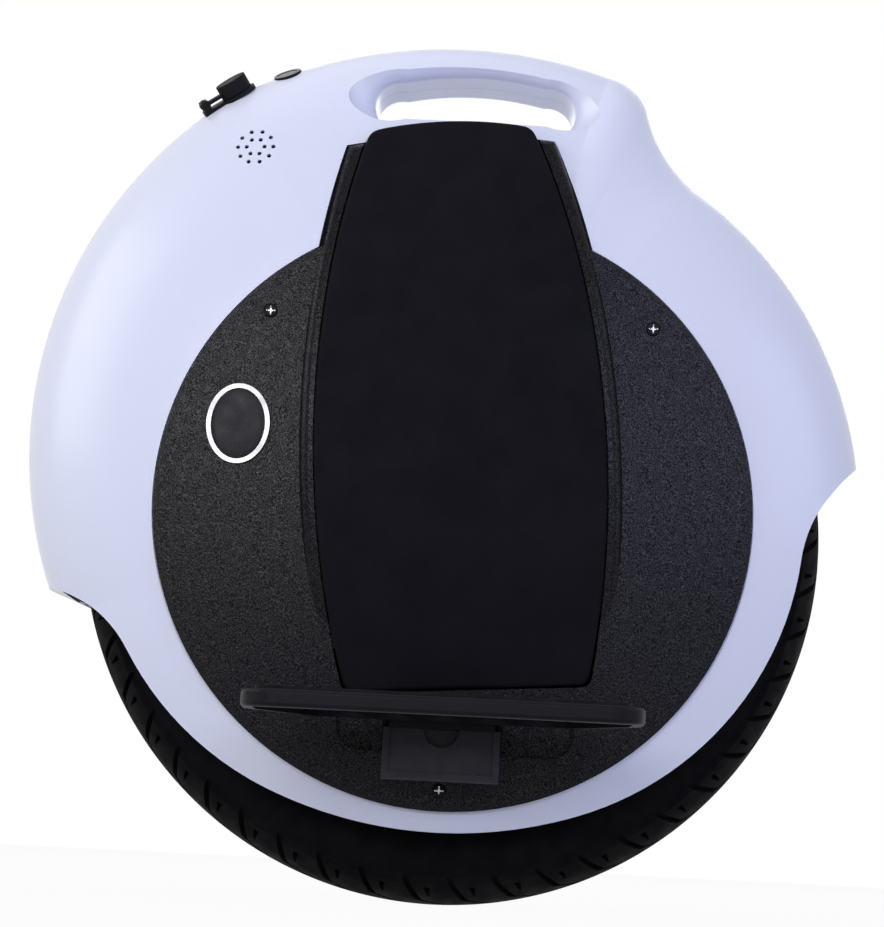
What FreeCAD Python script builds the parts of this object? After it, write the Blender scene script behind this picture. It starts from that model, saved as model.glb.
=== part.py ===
import FreeCAD, Part
import math
import os
import Sketcher
from FreeCAD import Placement, Rotation, Vector

# Electric unicycle. Millimetres, X forward, Y to the rider's left, Z up.
# Everything is drawn about the axle and then lifted by the tyre's radius,
# so the origin is the point on the ground under the axle.

doc = FreeCAD.newDocument("electric_unicycle")
sheet = doc.addObject("Spreadsheet::Sheet", "Sizes")

SIZES = {
    # Tyre, rim and tube
    "tyre_radius": 180,
    "tyre_half_width": 28,
    "tyre_wall": 5,
    "tread_depth": 3.5,
    "tread_shoulder": 24,
    "tread_drop": 10,
    "tread_pitches": 50,
    "tread_groove": 3.2,
    "tread_sweep": 22,
    "tread_sipe": 6,
    "bead_radius": 127,
    "bead_half_width": 23,
    "bead_thick": 5,
    "bead_seat_gap": 0.3,
    "rim_flange": 7,
    "rim_flange_thick": 3.5,
    "rim_wall": 6,
    "rim_web": 5,
    "tube_radius": 17,
    "tube_wall": 2,
    # Hub motor
    "drum_radius": 110,
    "drum_wall": 6,
    "drum_half_width": 24,
    "magnet_thick": 3,
    "magnet_count": 30,
    "magnet_half_width": 16,
    "magnet_half_arc": 9,
    "air_gap": 0.8,
    "stator_half_width": 15,
    "stator_slots": 27,
    "stator_yoke": 12,
    "tooth_length": 24,
    "tooth_width": 9,
    "tooth_head": 3,
    "slot_mouth": 3.4,
    "coil_thick": 3.8,
    "coil_gap": 0.3,
    "hub_web": 8,
    "hub_boss_radius": 22,
    "hub_boss_half": 20,
    "motor_cover_thick": 4,
    "motor_cover_dish": 4.5,
    "dish_radius": 50,
    "dish_slope": 20,
    "motor_bolt_radius": 1.5,
    "motor_bolt_head": 2.8,
    "motor_bolt_head_tall": 2,
    "motor_bolt_length": 9,
    "motor_bolt_count": 8,
    "bearing_bore": 8.5,
    "bearing_outside": 17.5,
    "bearing_start": 22,
    "bearing_width": 10,
    "race_gap": 0.3,
    "seat_gap": 0.02,
    "axle_core_radius": 11,
    "axle_end_radius": 8,
    "axle_half_length": 66,
    "axle_flat": 6.5,
    "spacer_radius": 13,
    "valve_radius": 2.6,
    "valve_side": 15,
    "valve_cap_radius": 3.4,
    "valve_cap_length": 7,
    # Round body of the casing
    "wall": 3,
    "body_half_width": 70,
    "crown_core": 0.3,
    "crown_power": 2.5,
    "front_gap": 18.5,
    "front_rise": 12.7,
    "rear_gap": 33.5,
    "rear_shift": 4.5,
    "rear_rise": 40.5,
    "front_tip_angle": 8.1,
    "rear_tip_angle": 201.4,
    "well_gap": 9,
    "well_half_width": 34,
    # Handle
    "handle_power": 1.75,
    "shoulder_power": 2,
    "brow_bulge": 4,
    "handle_rise": 65.9,
    "handle_apex": -5,
    "handle_rear_angle": 125,
    "brow_reach": 68.3,
    "brow_drop": 11.6,
    "brow_nose": 88,
    "brow_height": 18.4,
    "notch_angle": 55.8,
    "notch_hollow": 4,
    "grip_thick": 20.1,
    "grip_gap": 29.5,
    "grip_rear": -47.5,
    "grip_front": 51,
    "grip_arch": 4,
    "grip_straight": 17,
    "grip_flare": 12,
    "grip_slope": 0.6,
    # Side cover, leg pad and their lean
    "cover_rise": 4.1,
    "cover_radius": 140.5,
    "cover_thick": 3,
    "cover_depth": 64,
    "cover_crown": 6,
    "cover_gap": 0.6,
    "ledge_width": 4.5,
    "ledge_thick": 2.5,
    "ring_width": 25.5,
    "ring_low": 150,
    "ring_low_radius": 202,
    "edge_round": 60,
    "join_round": 150,
    "edge_hollow": 2.3,
    "front_edge_angle": -1,
    "rear_edge_angle": 201.5,
    "pad_lean": 4.25,
    "pad_shift": 2.9,
    "pad_rise": 21,
    "pad_top": 170,
    "pad_bottom": 101,
    "pad_half_width": 68.5,
    "pad_top_half": 39.4,
    "pad_bottom_half": 57,
    "pad_arch": 4,
    "pad_proud": 2.5,
    "pad_thick": 5.5,
    "pad_edge": 2,
    "pad_corner": 5,
    "pad_gap": 0.4,
    "spine_border": 7,
    "spine_drop": 7,
    "spine_depth": 78,
    "spine_radius": 520,
    "spine_peak": 10,
    "spine_edge": 5,
    "spine_back": 46,
    "recess_top": 84,
    "recess_bottom": 110,
    "recess_half": 55,
    "recess_shift": 6,
    "recess_corner": 11,
    "recess_floor": 57,
    "cover_screw_circle": 128,
    "cover_screw_low": 131,
    "screw_radius": 1.6,
    "screw_head_radius": 3.2,
    "screw_head": 1.8,
    "screw_length": 11,
    "post_radius": 4.5,
    # Wheel liner and mudguard
    "liner_thick": 2.5,
    "liner_hub": 32,
    "fit_gap": 0.3,
    "mudguard_gap": 4.5,
    "mudguard_thick": 2,
    "mudguard_sweep": 180,
    "mudguard_turn": 11,
    # Hanger and pedal
    "hanger_inner": 42,
    "hanger_leg": 12,
    "leg_half": 21,
    "foot_half": 26.5,
    "foot_outer": 100,
    "foot_inner": 72,
    "foot_top": 100.3,
    "foot_bottom": 123,
    "foot_rim": 3,
    "foot_panel": 1.2,
    "foot_notch": 8,
    "arm_top": 86,
    "arm_bottom": 108,
    "arm_end": 80,
    "pin_out": 89,
    "pin_down": 94,
    "pin_radius": 3,
    "pin_gap": 0.05,
    "knuckle_radius": 5.5,
    "knuckle_half": 15,
    "lug_gap": 0.5,
    "pedal_tilt": 0,
    "pedal_reach": 80,
    "pedal_inner": 8,
    "pedal_outer_half": 87.5,
    "pedal_inner_half": 62,
    "pedal_shoulder": 52,
    "pedal_top": 5,
    "pedal_thick": 8,
    "pedal_corner": 16,
    "pedal_rim": 6,
    "pedal_under": 3,
    "pedal_edge": 2,
    "slot_length": 24,
    "slot_width": 13,
    "slot_pitch": 21,
    "slot_outer_count": 7,
    "slot_inner_count": 5,
    "slot_inset": 15,
    "slot_row": 30,
    "grip_mat": 1.5,
    "heel_depth": 3.3,
    "heel_half": 24,
    "heel_width": 4,
    "hanger_bolt_radius": 3,
    "hanger_bolt_head": 5,
    "hanger_bolt_head_tall": 5,
    "hanger_bolt_x": 12,
    "hanger_bolt_upper": 34,
    "hanger_bolt_lower": 66,
    "washer_radius": 15,
    "washer_thick": 2,
    "nut_across": 24,
    "nut_thick": 10,
    # Electronics
    "cell_radius": 9.2,
    "cell_length": 65,
    "cell_count": 7,
    "cell_rise": 44,
    "board_thick": 1.6,
    "heatsink_thick": 6,
    "control_length": 72,
    "control_height": 84,
    "control_rear": 40,
    "control_rise": -20,
    "mosfet_width": 10,
    "mosfet_tall": 15,
    "mosfet_thick": 4.6,
    "mosfet_count": 6,
    "capacitor_radius": 4.5,
    "capacitor_length": 9,
    "bms_length": 60,
    "bms_height": 40,
    "speaker_angle": 126.8,
    "speaker_depth": 44.5,
    "speaker_radius": 11,
    "speaker_thick": 6,
    "speaker_sag": 2,
    "grille_outer": 8.7,
    "grille_inner": 4.4,
    "grille_hole": 1.05,
    "grille_outer_count": 10,
    "grille_inner_count": 6,
    # Charge port, its cap and the power button
    "port_angle": 125,
    "port_depth": 12,
    "port_bore": 4.5,
    "port_body": 7,
    "port_length": 12,
    "collar_radius": 6.2,
    "collar_tall": 4.8,
    "flange_radius": 9.5,
    "flange_tall": 1,
    "seat_sink": 1,
    "cap_gap": 0.7,
    "cap_wall": 1.1,
    "cap_tall": 7,
    "strap_reach": 17,
    "strap_half": 3,
    "strap_thick": 1.6,
    "post_thick": 2,
    "eye_radius": 2.6,
    "eye_bar": 1,
    "eye_rise": 3.8,
    "eye_gap": 0.08,
    "charge_pin": 0.8,
    "button_angle": 117.7,
    "button_radius": 5,
    "bezel_width": 1.6,
    "bezel_tall": 0.8,
    "button_proud": 0.6,
    "button_body": 9,
    "button_stem": 5.5,
    "button_travel": 1.4,
    "button_gap": 0.35,
    # Badge
    "badge_x": -102.5,
    "badge_z": 39.5,
    "badge_half_width": 15,
    "badge_half_height": 19,
    "badge_thick": 1.6,
    "badge_lift": 0.2,
}

for line, (name, value) in enumerate(SIZES.items(), start=1):
    sheet.set(f"A{line}", name)
    sheet.set(f"B{line}", str(value))
    sheet.setAlias(f"B{line}", name)
doc.recompute()

nodes = []


def size(name):
    return float(sheet.get(name))


def bind(thing, prop, expression):
    thing.setExpression(prop, expression)


def keep(thing, label):
    thing.Label = label
    nodes.append(thing)
    return thing


def raise_to_axle(thing):
    bind(thing, "Placement.Base.z", "Sizes.tyre_radius")


def mirrored(source, label):
    twin = doc.addObject("Part::Mirroring", label)
    twin.Source = source
    twin.Normal = Vector(0, 1, 0)
    return keep(twin, label)


def from_shape(shape, label):
    piece = doc.addObject("Part::Feature", label)
    piece.Shape = shape
    piece.Placement = Placement(Vector(0, 0, size("tyre_radius")), Rotation())
    raise_to_axle(piece)
    return keep(piece, label)


# Sketch helpers

def s(text):
    """Turn {name} marks into sheet references."""
    return text.replace("{", "Sizes.").replace("}", "")


def plane(body, role):
    return next(part for part in body.Origin.OriginFeatures if part.Role == role)


def start_sketch(body, name, role, offset="0"):
    sketch = body.newObject("Sketcher::SketchObject", name)
    sketch.AttachmentSupport = [(plane(body, role), "")]
    sketch.MapMode = "FlatFace"
    bind(sketch, "AttachmentOffset.Base.z", s(offset))
    return sketch


def fix_point(sketch, edge, end, across, up):
    for kind, expression in (("DistanceX", across), ("DistanceY", up)):
        value = sketch.evalExpression(expression)
        number = sketch.addConstraint(Sketcher.Constraint(kind, -1, 1, edge, end, value))
        bind(sketch, f"Constraints[{number}]", expression)


def minor_arc(first, last, radius, turn):
    """Arc from first to last; turn is 1 when it runs anticlockwise."""
    chord = last - first
    height = math.sqrt(max(radius ** 2 - chord.Length ** 2 / 4, 0))
    normal = Vector(-chord.y, chord.x, 0).normalize()
    centre = (first + last) * 0.5 + normal * (height * turn)
    begin, finish = (first, last) if turn > 0 else (last, first)
    angles = [math.atan2(point.y - centre.y, point.x - centre.x) for point in (begin, finish)]
    return Part.ArcOfCircle(Part.Circle(centre, Vector(0, 0, 1), radius), *angles)


def size_arc(sketch, edge, corner):
    """Hold an arc's radius; a half circle is held by its centre's level with its ends instead."""
    value = sketch.evalExpression(corner[2])
    arc = sketch.Geometry[edge]
    chord = arc.EndPoint - arc.StartPoint
    if abs(chord.Length - 2 * value) > 1e-6:
        number = sketch.addConstraint(Sketcher.Constraint("Radius", edge, value))
        bind(sketch, f"Constraints[{number}]", corner[2])
        return
    kind, level = ("DistanceY", corner[1]) if abs(chord.y) < abs(chord.x) else ("DistanceX", corner[0])
    held = Sketcher.Constraint(kind, -1, 1, edge, 3, sketch.evalExpression(level))
    bind(sketch, f"Constraints[{sketch.addConstraint(held)}]", level)


def outline(sketch, corners):
    """Closed outline. A corner is (across, up), with (radius, turn) added if an arc follows it."""
    corners = [tuple(s(item) if isinstance(item, str) else item for item in corner) for corner in corners]
    points = [Vector(sketch.evalExpression(c[0]), sketch.evalExpression(c[1]), 0) for c in corners]
    ends = []
    for place, corner in enumerate(corners):
        first, last = points[place], points[(place + 1) % len(points)]
        if len(corner) == 2:
            edge = sketch.addGeometry(Part.LineSegment(first, last))
            ends.append((edge, 1, 2))
            continue
        radius, turn = corner[2:]
        edge = sketch.addGeometry(minor_arc(first, last, sketch.evalExpression(radius), turn))
        ends.append((edge, 1, 2) if turn > 0 else (edge, 2, 1))
    for place, (edge, begin, finish) in enumerate(ends):
        following = ends[(place + 1) % len(ends)]
        sketch.addConstraint(Sketcher.Constraint("Coincident", edge, finish, following[0], following[1]))
    for corner, (edge, begin, finish) in zip(corners, ends):
        fix_point(sketch, edge, begin, corner[0], corner[1])
        if len(corner) == 4:
            size_arc(sketch, edge, corner)
    return sketch


def circle(sketch, across, up, radius):
    across, up, radius = s(across), s(up), s(radius)
    centre = Vector(sketch.evalExpression(across), sketch.evalExpression(up), 0)
    value = sketch.evalExpression(radius)
    edge = sketch.addGeometry(Part.Circle(centre, Vector(0, 0, 1), value))
    fix_point(sketch, edge, 3, across, up)
    number = sketch.addConstraint(Sketcher.Constraint("Radius", edge, value))
    bind(sketch, f"Constraints[{number}]", radius)
    return sketch


def rectangle(sketch, left, right, low, high):
    return outline(sketch, [(left, low), (right, low), (right, high), (left, high)])


def new_body(label):
    body = doc.addObject("PartDesign::Body", label)
    raise_to_axle(body)
    return keep(body, label)


def feature(body, kind, sketch, length=None, symmetric=False, reverse=False):
    made = body.newObject(f"PartDesign::{kind}", f"{body.Name}_{kind}")
    made.Profile = sketch
    if length is None:
        made.ReferenceAxis = (sketch, ["H_Axis"])
        made.Angle = 360
    else:
        bind(made, "Length", s(length))
        made.Reversed = reverse
        if symmetric:
            made.SideType = "Symmetric"
    return made


def pad(body, sketch, length, **options):
    return feature(body, "Pad", sketch, length, **options)


def pocket(body, sketch, length, **options):
    return feature(body, "Pocket", sketch, length, **options)


def turned(body, corners, name="profile"):
    """Body of revolution about the axle, from (along the axle, radius) corners."""
    sketch = outline(start_sketch(body, f"{body.Name}_{name}", "YZ_Plane"), corners)
    return feature(body, "Revolution", sketch)


def around(body, originals, sketch_axis, count):
    pattern = body.newObject("PartDesign::PolarPattern", f"{body.Name}_ring")
    pattern.Originals = originals
    pattern.Axis = sketch_axis
    pattern.Angle = 360
    bind(pattern, "Occurrences", s(count))
    body.Tip = pattern
    return pattern


def both_ends(label, corners):
    """Two equal turned rings, one at each end of the axle, as one node."""
    body = new_body(label)
    turned(body, corners)
    far = [("-(" + corner[0] + ")", *corner[1:]) for corner in corners]
    turned(body, far, "far_profile")
    return body


# Tyre: a tread layer cut into swept blocks, then the carcass that carries them

def make_tyre():
    body = new_body("tyre")
    crown = "(({tread_shoulder}^2 + {tread_drop}^2) / (2 * {tread_drop}))"
    edge = "({tyre_radius} - {tread_drop})"
    floor = "({tyre_radius} - {tread_drop} - {tread_depth})"
    turned(body, [
        ("-{tread_shoulder}", floor, crown, -1),
        ("{tread_shoulder}", floor),
        ("{tread_shoulder}", edge, crown, 1),
        ("-{tread_shoulder}", edge),
    ], "tread")
    pitch = "(2 * 3.14159 * {tyre_radius} / {tread_pitches})"
    for side, lead in ((1, "0"), (-1, "0.5")):
        near = f"({side} * 3)"
        bend = f"({side} * {{tread_shoulder}} * 0.5)"
        far = f"({side} * ({{tread_shoulder}} + 1))"
        start = f"({lead} * {pitch})"
        turn = f"({start} + {{tread_sweep}} * 0.75)"
        end = f"({start} + {{tread_sweep}})"
        sketch = start_sketch(body, f"groove_{side}", "XY_Plane", "{tyre_radius} + 1")
        outline(sketch, [
            (start, near),
            (f"{start} + {{tread_groove}}", near),
            (f"{turn} + {{tread_groove}}", bend),
            (f"{end} + {{tread_groove}}", far),
            (end, far),
            (turn, bend),
        ])
        middle = f"({end} + ({{tread_groove}} + {pitch}) / 2)"
        tip = f"({side} * ({{tread_shoulder}} - 2 - {{tread_sipe}}))"
        tail = f"({side} * ({{tread_shoulder}} - 2))"
        outline(sketch, [
            (f"{middle} - {{tread_groove}} * 0.15", tip),
            (f"{middle} + {{tread_groove}} * 0.15", tip),
            (f"{middle} + {{tread_groove}} * 0.45", tail),
            (f"{middle} - {{tread_groove}} * 0.45", tail),
        ])
        cut = pocket(body, sketch, "{tread_drop} + {tread_depth} + 6")
        around(body, [cut], (plane(body, "Y_Axis"), [""]), "{tread_pitches}")
    waist = "({bead_radius} + ({tyre_radius} - {bead_radius}) / 2)"
    heel = "({bead_radius} + {bead_seat_gap})"
    flange = "({bead_radius} + {rim_flange} + 1)"
    flank = "({tyre_radius} * 0.17)"
    turned(body, [
        ("-{bead_half_width}", heel),
        ("-{bead_half_width}", flange, flank, -1),
        ("-{tyre_half_width}", waist, flank, -1),
        ("-{tread_shoulder}", floor, crown, -1),
        ("{tread_shoulder}", floor, flank, -1),
        ("{tyre_half_width}", waist, flank, -1),
        ("{bead_half_width}", flange),
        ("{bead_half_width}", heel),
        ("{bead_half_width} - {bead_thick}", heel, flank, 1),
        ("{tyre_half_width} - {tyre_wall}", waist, "{tyre_half_width} - {tyre_wall} + 0.5", 1),
        ("-({tyre_half_width} - {tyre_wall})", waist, flank, 1),
        ("-({bead_half_width} - {bead_thick})", heel),
    ], "carcass")
    return body


make_tyre()


# Rim, tube, valve and hub motor

def make_rim():
    body = new_body("motor_rim")
    side = "({bead_half_width} + {fit_gap} + {rim_flange_thick})"
    flange = "({bead_radius} + {rim_flange})"
    bed = "({bead_radius} - {rim_wall})"
    inner = "({drum_radius} - {drum_wall})"
    seat = "({bead_half_width} + {fit_gap})"
    right = [
        ("-{drum_half_width}", inner),
        ("-{drum_half_width}", "{drum_radius}"),
        ("-{rim_web}", "{drum_radius}"),
        ("-{rim_web}", bed),
        (f"-{side}", bed),
        (f"-{side}", flange),
        (f"-{seat}", flange),
        (f"-{seat}", "{bead_radius}"),
    ]
    left = [(across[1:], up) for across, up in reversed(right)]
    turned(body, right + left)
    hole = start_sketch(body, "valve_hole", "XY_Plane")
    circle(hole, "0", "-{valve_side}", "{valve_radius} + {fit_gap}")
    pocket(body, hole, "{bead_radius} + 1", reverse=True)
    drill = start_sketch(body, "bolt_hole", "XZ_Plane")
    circle(drill, "0", "{drum_radius} - {drum_wall} / 2", "{motor_bolt_radius} + 0.1")
    cut = pocket(body, drill, "2 * {drum_half_width} + 2", symmetric=True)
    around(body, [cut], (plane(body, "Y_Axis"), [""]), "{motor_bolt_count}")


def make_tube():
    body = new_body("inner_tube")
    middle = "({bead_radius} + {tube_radius} + {fit_gap})"
    sketch = start_sketch(body, "section", "YZ_Plane")
    circle(sketch, "0", middle, "{tube_radius}")
    circle(sketch, "0", middle, "{tube_radius} - {tube_wall}")
    feature(body, "Revolution", sketch)


def make_valve():
    stem = new_body("valve_stem")
    elbow = "(({drum_radius} + {bead_radius} - {rim_wall}) / 2)"
    foot = circle(start_sketch(stem, "foot", "XY_Plane", elbow), "0", "-{valve_side}", "{valve_radius}")
    pad(stem, foot, f"{{bead_radius}} - {elbow} - {{fit_gap}}")
    barrel = circle(start_sketch(stem, "barrel", "XZ_Plane", "{valve_side}"), "0", elbow, "{valve_radius}")
    pad(stem, barrel, "{drum_half_width} - {valve_side}")
    heel = start_sketch(stem, "heel", "XZ_Plane", "{valve_side} - {valve_radius}")
    circle(heel, "0", elbow, "{valve_radius}")
    pad(stem, heel, "{valve_radius}")
    cap = new_body("valve_cap")
    top = circle(start_sketch(cap, "cap", "XZ_Plane", "{drum_half_width}"), "0", elbow, "{valve_cap_radius}")
    pad(cap, top, "{valve_cap_length}")


def make_magnets():
    body = new_body("magnets")
    outer = "({drum_radius} - {drum_wall} - {seat_gap})"
    inner = f"({outer} - {{magnet_thick}})"
    high = f"sqrt({outer}^2 - {{magnet_half_arc}}^2)"
    low = f"sqrt({inner}^2 - {{magnet_half_arc}}^2)"
    sketch = start_sketch(body, "magnet", "XZ_Plane")
    outline(sketch, [
        ("{magnet_half_arc}", low),
        ("{magnet_half_arc}", high, outer, 1),
        ("-{magnet_half_arc}", high),
        ("-{magnet_half_arc}", low, inner, -1),
    ])
    block = pad(body, sketch, "2 * {magnet_half_width}", symmetric=True)
    around(body, [block], (plane(body, "Y_Axis"), [""]), "{magnet_count}")


def make_motor_cover():
    body = new_body("motor_cover_right")
    near = "{drum_half_width}"
    far = "({drum_half_width} + {motor_cover_thick})"
    seat = "({bearing_outside} + {seat_gap})"
    boss = "({bearing_outside} + 8)"
    foot = "({dish_radius} + {dish_slope})"
    turned(body, [
        (f"-{near}", "{drum_radius}"),
        (f"-{far}", "{drum_radius}"),
        (f"-{far}", foot),
        (f"-({far} + {{motor_cover_dish}})", "{dish_radius}"),
        (f"-({far} + {{motor_cover_dish}})", seat),
        ("-{bearing_start}", seat),
        ("-{bearing_start}", boss),
        (f"-({near} + {{motor_cover_dish}})", boss),
        (f"-({near} + {{motor_cover_dish}})", "{dish_radius}"),
        (f"-{near}", foot),
    ])
    drill = start_sketch(body, "bolt_hole", "XZ_Plane", f"{near} - 1")
    circle(drill, "0", "{drum_radius} - {drum_wall} / 2", "{motor_bolt_radius} + 0.1")
    cut = pocket(body, drill, "{motor_cover_thick} + 2", reverse=True)
    around(body, [cut], (plane(body, "Y_Axis"), [""]), "{motor_bolt_count}")
    mirrored(body, "motor_cover_left")


def make_motor_bolts():
    body = new_body("motor_cover_bolts")
    height = "({drum_radius} - {drum_wall} / 2)"
    face = "({drum_half_width} + {motor_cover_thick})"
    for side, reverse in (("", False), ("-", True)):
        start = f"{side}{face}"
        head = circle(start_sketch(body, "head", "XZ_Plane", start), "0", height, "{motor_bolt_head}")
        cap = pad(body, head, "{motor_bolt_head_tall}", reverse=reverse)
        shank = circle(start_sketch(body, "shank", "XZ_Plane", start), "0", height, "{motor_bolt_radius}")
        rod = pad(body, shank, "{motor_bolt_length}", reverse=not reverse)
        around(body, [cap, rod], (plane(body, "Y_Axis"), [""]), "{motor_bolt_count}")


def make_bearings():
    near = "-{bearing_start}"
    far = "-({bearing_start} + {bearing_width})"
    middle = "(({bearing_bore} + {bearing_outside}) / 2)"
    both_ends("bearing_outer_rings", [
        (near, f"{middle} + {{race_gap}} / 2"),
        (far, f"{middle} + {{race_gap}} / 2"),
        (far, "{bearing_outside}"),
        (near, "{bearing_outside}"),
    ])
    both_ends("bearing_inner_rings", [
        (near, "{bearing_bore}"),
        (far, "{bearing_bore}"),
        (far, f"{middle} - {{race_gap}} / 2"),
        (near, f"{middle} - {{race_gap}} / 2"),
    ])


def make_stator():
    outer = "({drum_radius} - {drum_wall} - {magnet_thick} - {air_gap})"
    root = f"({outer} - {{tooth_length}})"
    yoke = f"({root} - {{stator_yoke}})"
    core = new_body("stator_core")
    bore = "({axle_core_radius} + {seat_gap})"
    turned(core, [
        ("-{hub_boss_half}", bore),
        ("-{hub_boss_half}", "{hub_boss_radius}"),
        ("-{hub_web} / 2", "{hub_boss_radius}"),
        ("-{hub_web} / 2", yoke),
        ("-{stator_half_width}", yoke),
        ("-{stator_half_width}", root),
        ("{stator_half_width}", root),
        ("{stator_half_width}", yoke),
        ("{hub_web} / 2", yoke),
        ("{hub_web} / 2", "{hub_boss_radius}"),
        ("{hub_boss_half}", "{hub_boss_radius}"),
        ("{hub_boss_half}", bore),
    ])
    half = "({tooth_width} / 2)"
    tip = f"(3.14159 * {outer} / {{stator_slots}} - {{slot_mouth}} / 2)"
    shoulder = f"({outer} - {{tooth_head}})"
    rim = f"sqrt({outer}^2 - {tip}^2)"
    tooth = outline(start_sketch(core, "tooth", "XZ_Plane"), [
        (half, f"{root} - 1"),
        (half, f"{shoulder} - 1.5"),
        (tip, f"{shoulder} + 0.5"),
        (tip, rim, outer, 1),
        (f"-{tip}", rim),
        (f"-{tip}", f"{shoulder} + 0.5"),
        (f"-{half}", f"{shoulder} - 1.5"),
        (f"-{half}", f"{root} - 1"),
    ])
    bar = pad(core, tooth, "2 * {stator_half_width}", symmetric=True)
    around(core, [bar], (plane(core, "Y_Axis"), [""]), "{stator_slots}")

    coils = new_body("stator_windings")
    in_x = f"({half} + {{coil_gap}})"
    in_y = "({stator_half_width} + {coil_gap})"
    out_x = f"({in_x} + {{coil_thick}})"
    out_y = f"({in_y} + {{coil_thick}})"
    sketch = start_sketch(coils, "coil", "XY_Plane", f"{root} + {{coil_gap}} + 2")
    rectangle(sketch, f"-{out_x}", out_x, f"-{out_y}", out_y)
    rectangle(sketch, f"-{in_x}", in_x, f"-{in_y}", in_y)
    coil = pad(coils, sketch, "{tooth_length} - {tooth_head} - 2 * {coil_gap} - 4")
    around(coils, [coil], (plane(coils, "Y_Axis"), [""]), "{stator_slots}")


def make_axle():
    body = new_body("axle")
    stop = "({bearing_start} + {bearing_width})"
    seat = "({bearing_bore} - {seat_gap})"
    turned(body, [
        ("-{axle_half_length}", "0"),
        ("-{axle_half_length}", "{axle_end_radius}"),
        (f"-{stop}", "{axle_end_radius}"),
        (f"-{stop}", seat),
        ("-{bearing_start}", seat),
        ("-{bearing_start}", "{axle_core_radius}"),
        ("{bearing_start}", "{axle_core_radius}"),
        ("{bearing_start}", seat),
        (stop, seat),
        (stop, "{axle_end_radius}"),
        ("{axle_half_length}", "{axle_end_radius}"),
        ("{axle_half_length}", "0"),
    ])
    for side, reverse in (("", True), ("-", False)):
        outside = "2 * {axle_end_radius}"
        for low, high in (("{axle_flat}", outside), (f"-{outside}", "-{axle_flat}")):
            sketch = start_sketch(body, "flat", "XZ_Plane", f"{side}{{hanger_inner}}")
            rectangle(sketch, "-2 * {axle_end_radius}", "2 * {axle_end_radius}", low, high)
            pocket(body, sketch, "{axle_half_length}", reverse=reverse)

    bore = "({axle_end_radius} + {fit_gap} / 2)"
    both_ends("axle_spacers", [
        (f"-({stop} + {{fit_gap}} / 2)", bore),
        ("-({hanger_inner} - {fit_gap} / 2)", bore),
        ("-({hanger_inner} - {fit_gap} / 2)", "{spacer_radius}"),
        (f"-({stop} + {{fit_gap}} / 2)", "{spacer_radius}"),
    ])
    face = "({hanger_inner} + {hanger_leg})"
    both_ends("axle_washers", [
        (f"-{face}", bore),
        (f"-({face} + {{washer_thick}})", bore),
        (f"-({face} + {{washer_thick}})", "{washer_radius}"),
        (f"-{face}", "{washer_radius}"),
    ])
    nuts = new_body("axle_nuts")
    flat = "({nut_across} / 2)"
    point = "({nut_across} / sqrt(3))"
    for side, reverse in (("", False), ("-", True)):
        sketch = start_sketch(nuts, "hexagon", "XZ_Plane", f"{side}({face} + {{washer_thick}})")
        outline(sketch, [
            (point, "0"),
            (f"{point} / 2", flat),
            (f"-{point} / 2", flat),
            (f"-{point}", "0"),
            (f"-{point} / 2", f"-{flat}"),
            (f"{point} / 2", f"-{flat}"),
        ])
        circle(sketch, "0", "0", bore)
        pad(nuts, sketch, "{nut_thick}", reverse=reverse)


# Casing geometry in the wheel's plane: (x, z) about the axle, depth to the right of the mid-plane

def at(place, depth=0):
    return Vector(place[0], -depth, place[1])


def on_circle(centre, radius, angle):
    turn = math.radians(angle)
    return (centre[0] + radius * math.cos(turn), centre[1] + radius * math.sin(turn))


def front_point(angle, inset=0):
    radius = size("tyre_radius") + size("front_gap") - inset
    return on_circle((0, size("front_rise")), radius, angle)


def rear_point(angle, inset=0):
    radius = size("tyre_radius") + size("rear_gap") - inset
    return on_circle((size("rear_shift"), size("rear_rise")), radius, angle)


def bowed(first, last, bulge):
    """Point beside the middle of a chord, bulge to the left of its direction."""
    run, climb = last[0] - first[0], last[1] - first[1]
    length = math.hypot(run, climb)
    middle = ((first[0] + last[0]) / 2, (first[1] + last[1]) / 2)
    return (middle[0] - climb / length * bulge, middle[1] + run / length * bulge)


def curve(first, middle, last, depth=0):
    return Part.Arc(at(first, depth), at(middle, depth), at(last, depth)).toShape()


def straight(first, last, depth=0):
    return Part.LineSegment(at(first, depth), at(last, depth)).toShape()


def slab(edges, near, far):
    """Solid between two depths from the edges of an outline drawn at depth 0."""
    face = Part.Face(Part.Wire(Part.__sortEdges__(edges)))
    face.translate(Vector(0, -near, 0))
    return face.extrude(Vector(0, near - far, 0))


def drum(radius, near, far, centre=(0, 0)):
    return Part.makeCylinder(radius, far - near, at(centre, near), Vector(0, -1, 0))


def ball(radius, place, depth):
    return Part.makeSphere(radius, at(place, depth))


def cover_hub():
    return (0, size("cover_rise"))


def rear_heel(inset):
    """Low rear crossing of the front and rear circles of the round body."""
    front_radius = size("tyre_radius") + size("front_gap") - inset
    rear_radius = size("tyre_radius") + size("rear_gap") - inset
    run = size("rear_shift")
    climb = size("rear_rise") - size("front_rise")
    apart = math.hypot(run, climb)
    along = (apart ** 2 + front_radius ** 2 - rear_radius ** 2) / (2 * apart)
    across = math.sqrt(front_radius ** 2 - along ** 2)
    rise = size("front_rise") + (along * climb + across * run) / apart
    return ((along * run - across * climb) / apart, rise)


def crown_scale(depth, power, inset=0):
    """How far a point of the outline has drawn in at a depth: a superellipse."""
    part = min(depth / (size("body_half_width") - inset), 1) ** power
    core = size("crown_core")
    return core + (1 - core) * (1 - part) ** (1 / power)


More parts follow.
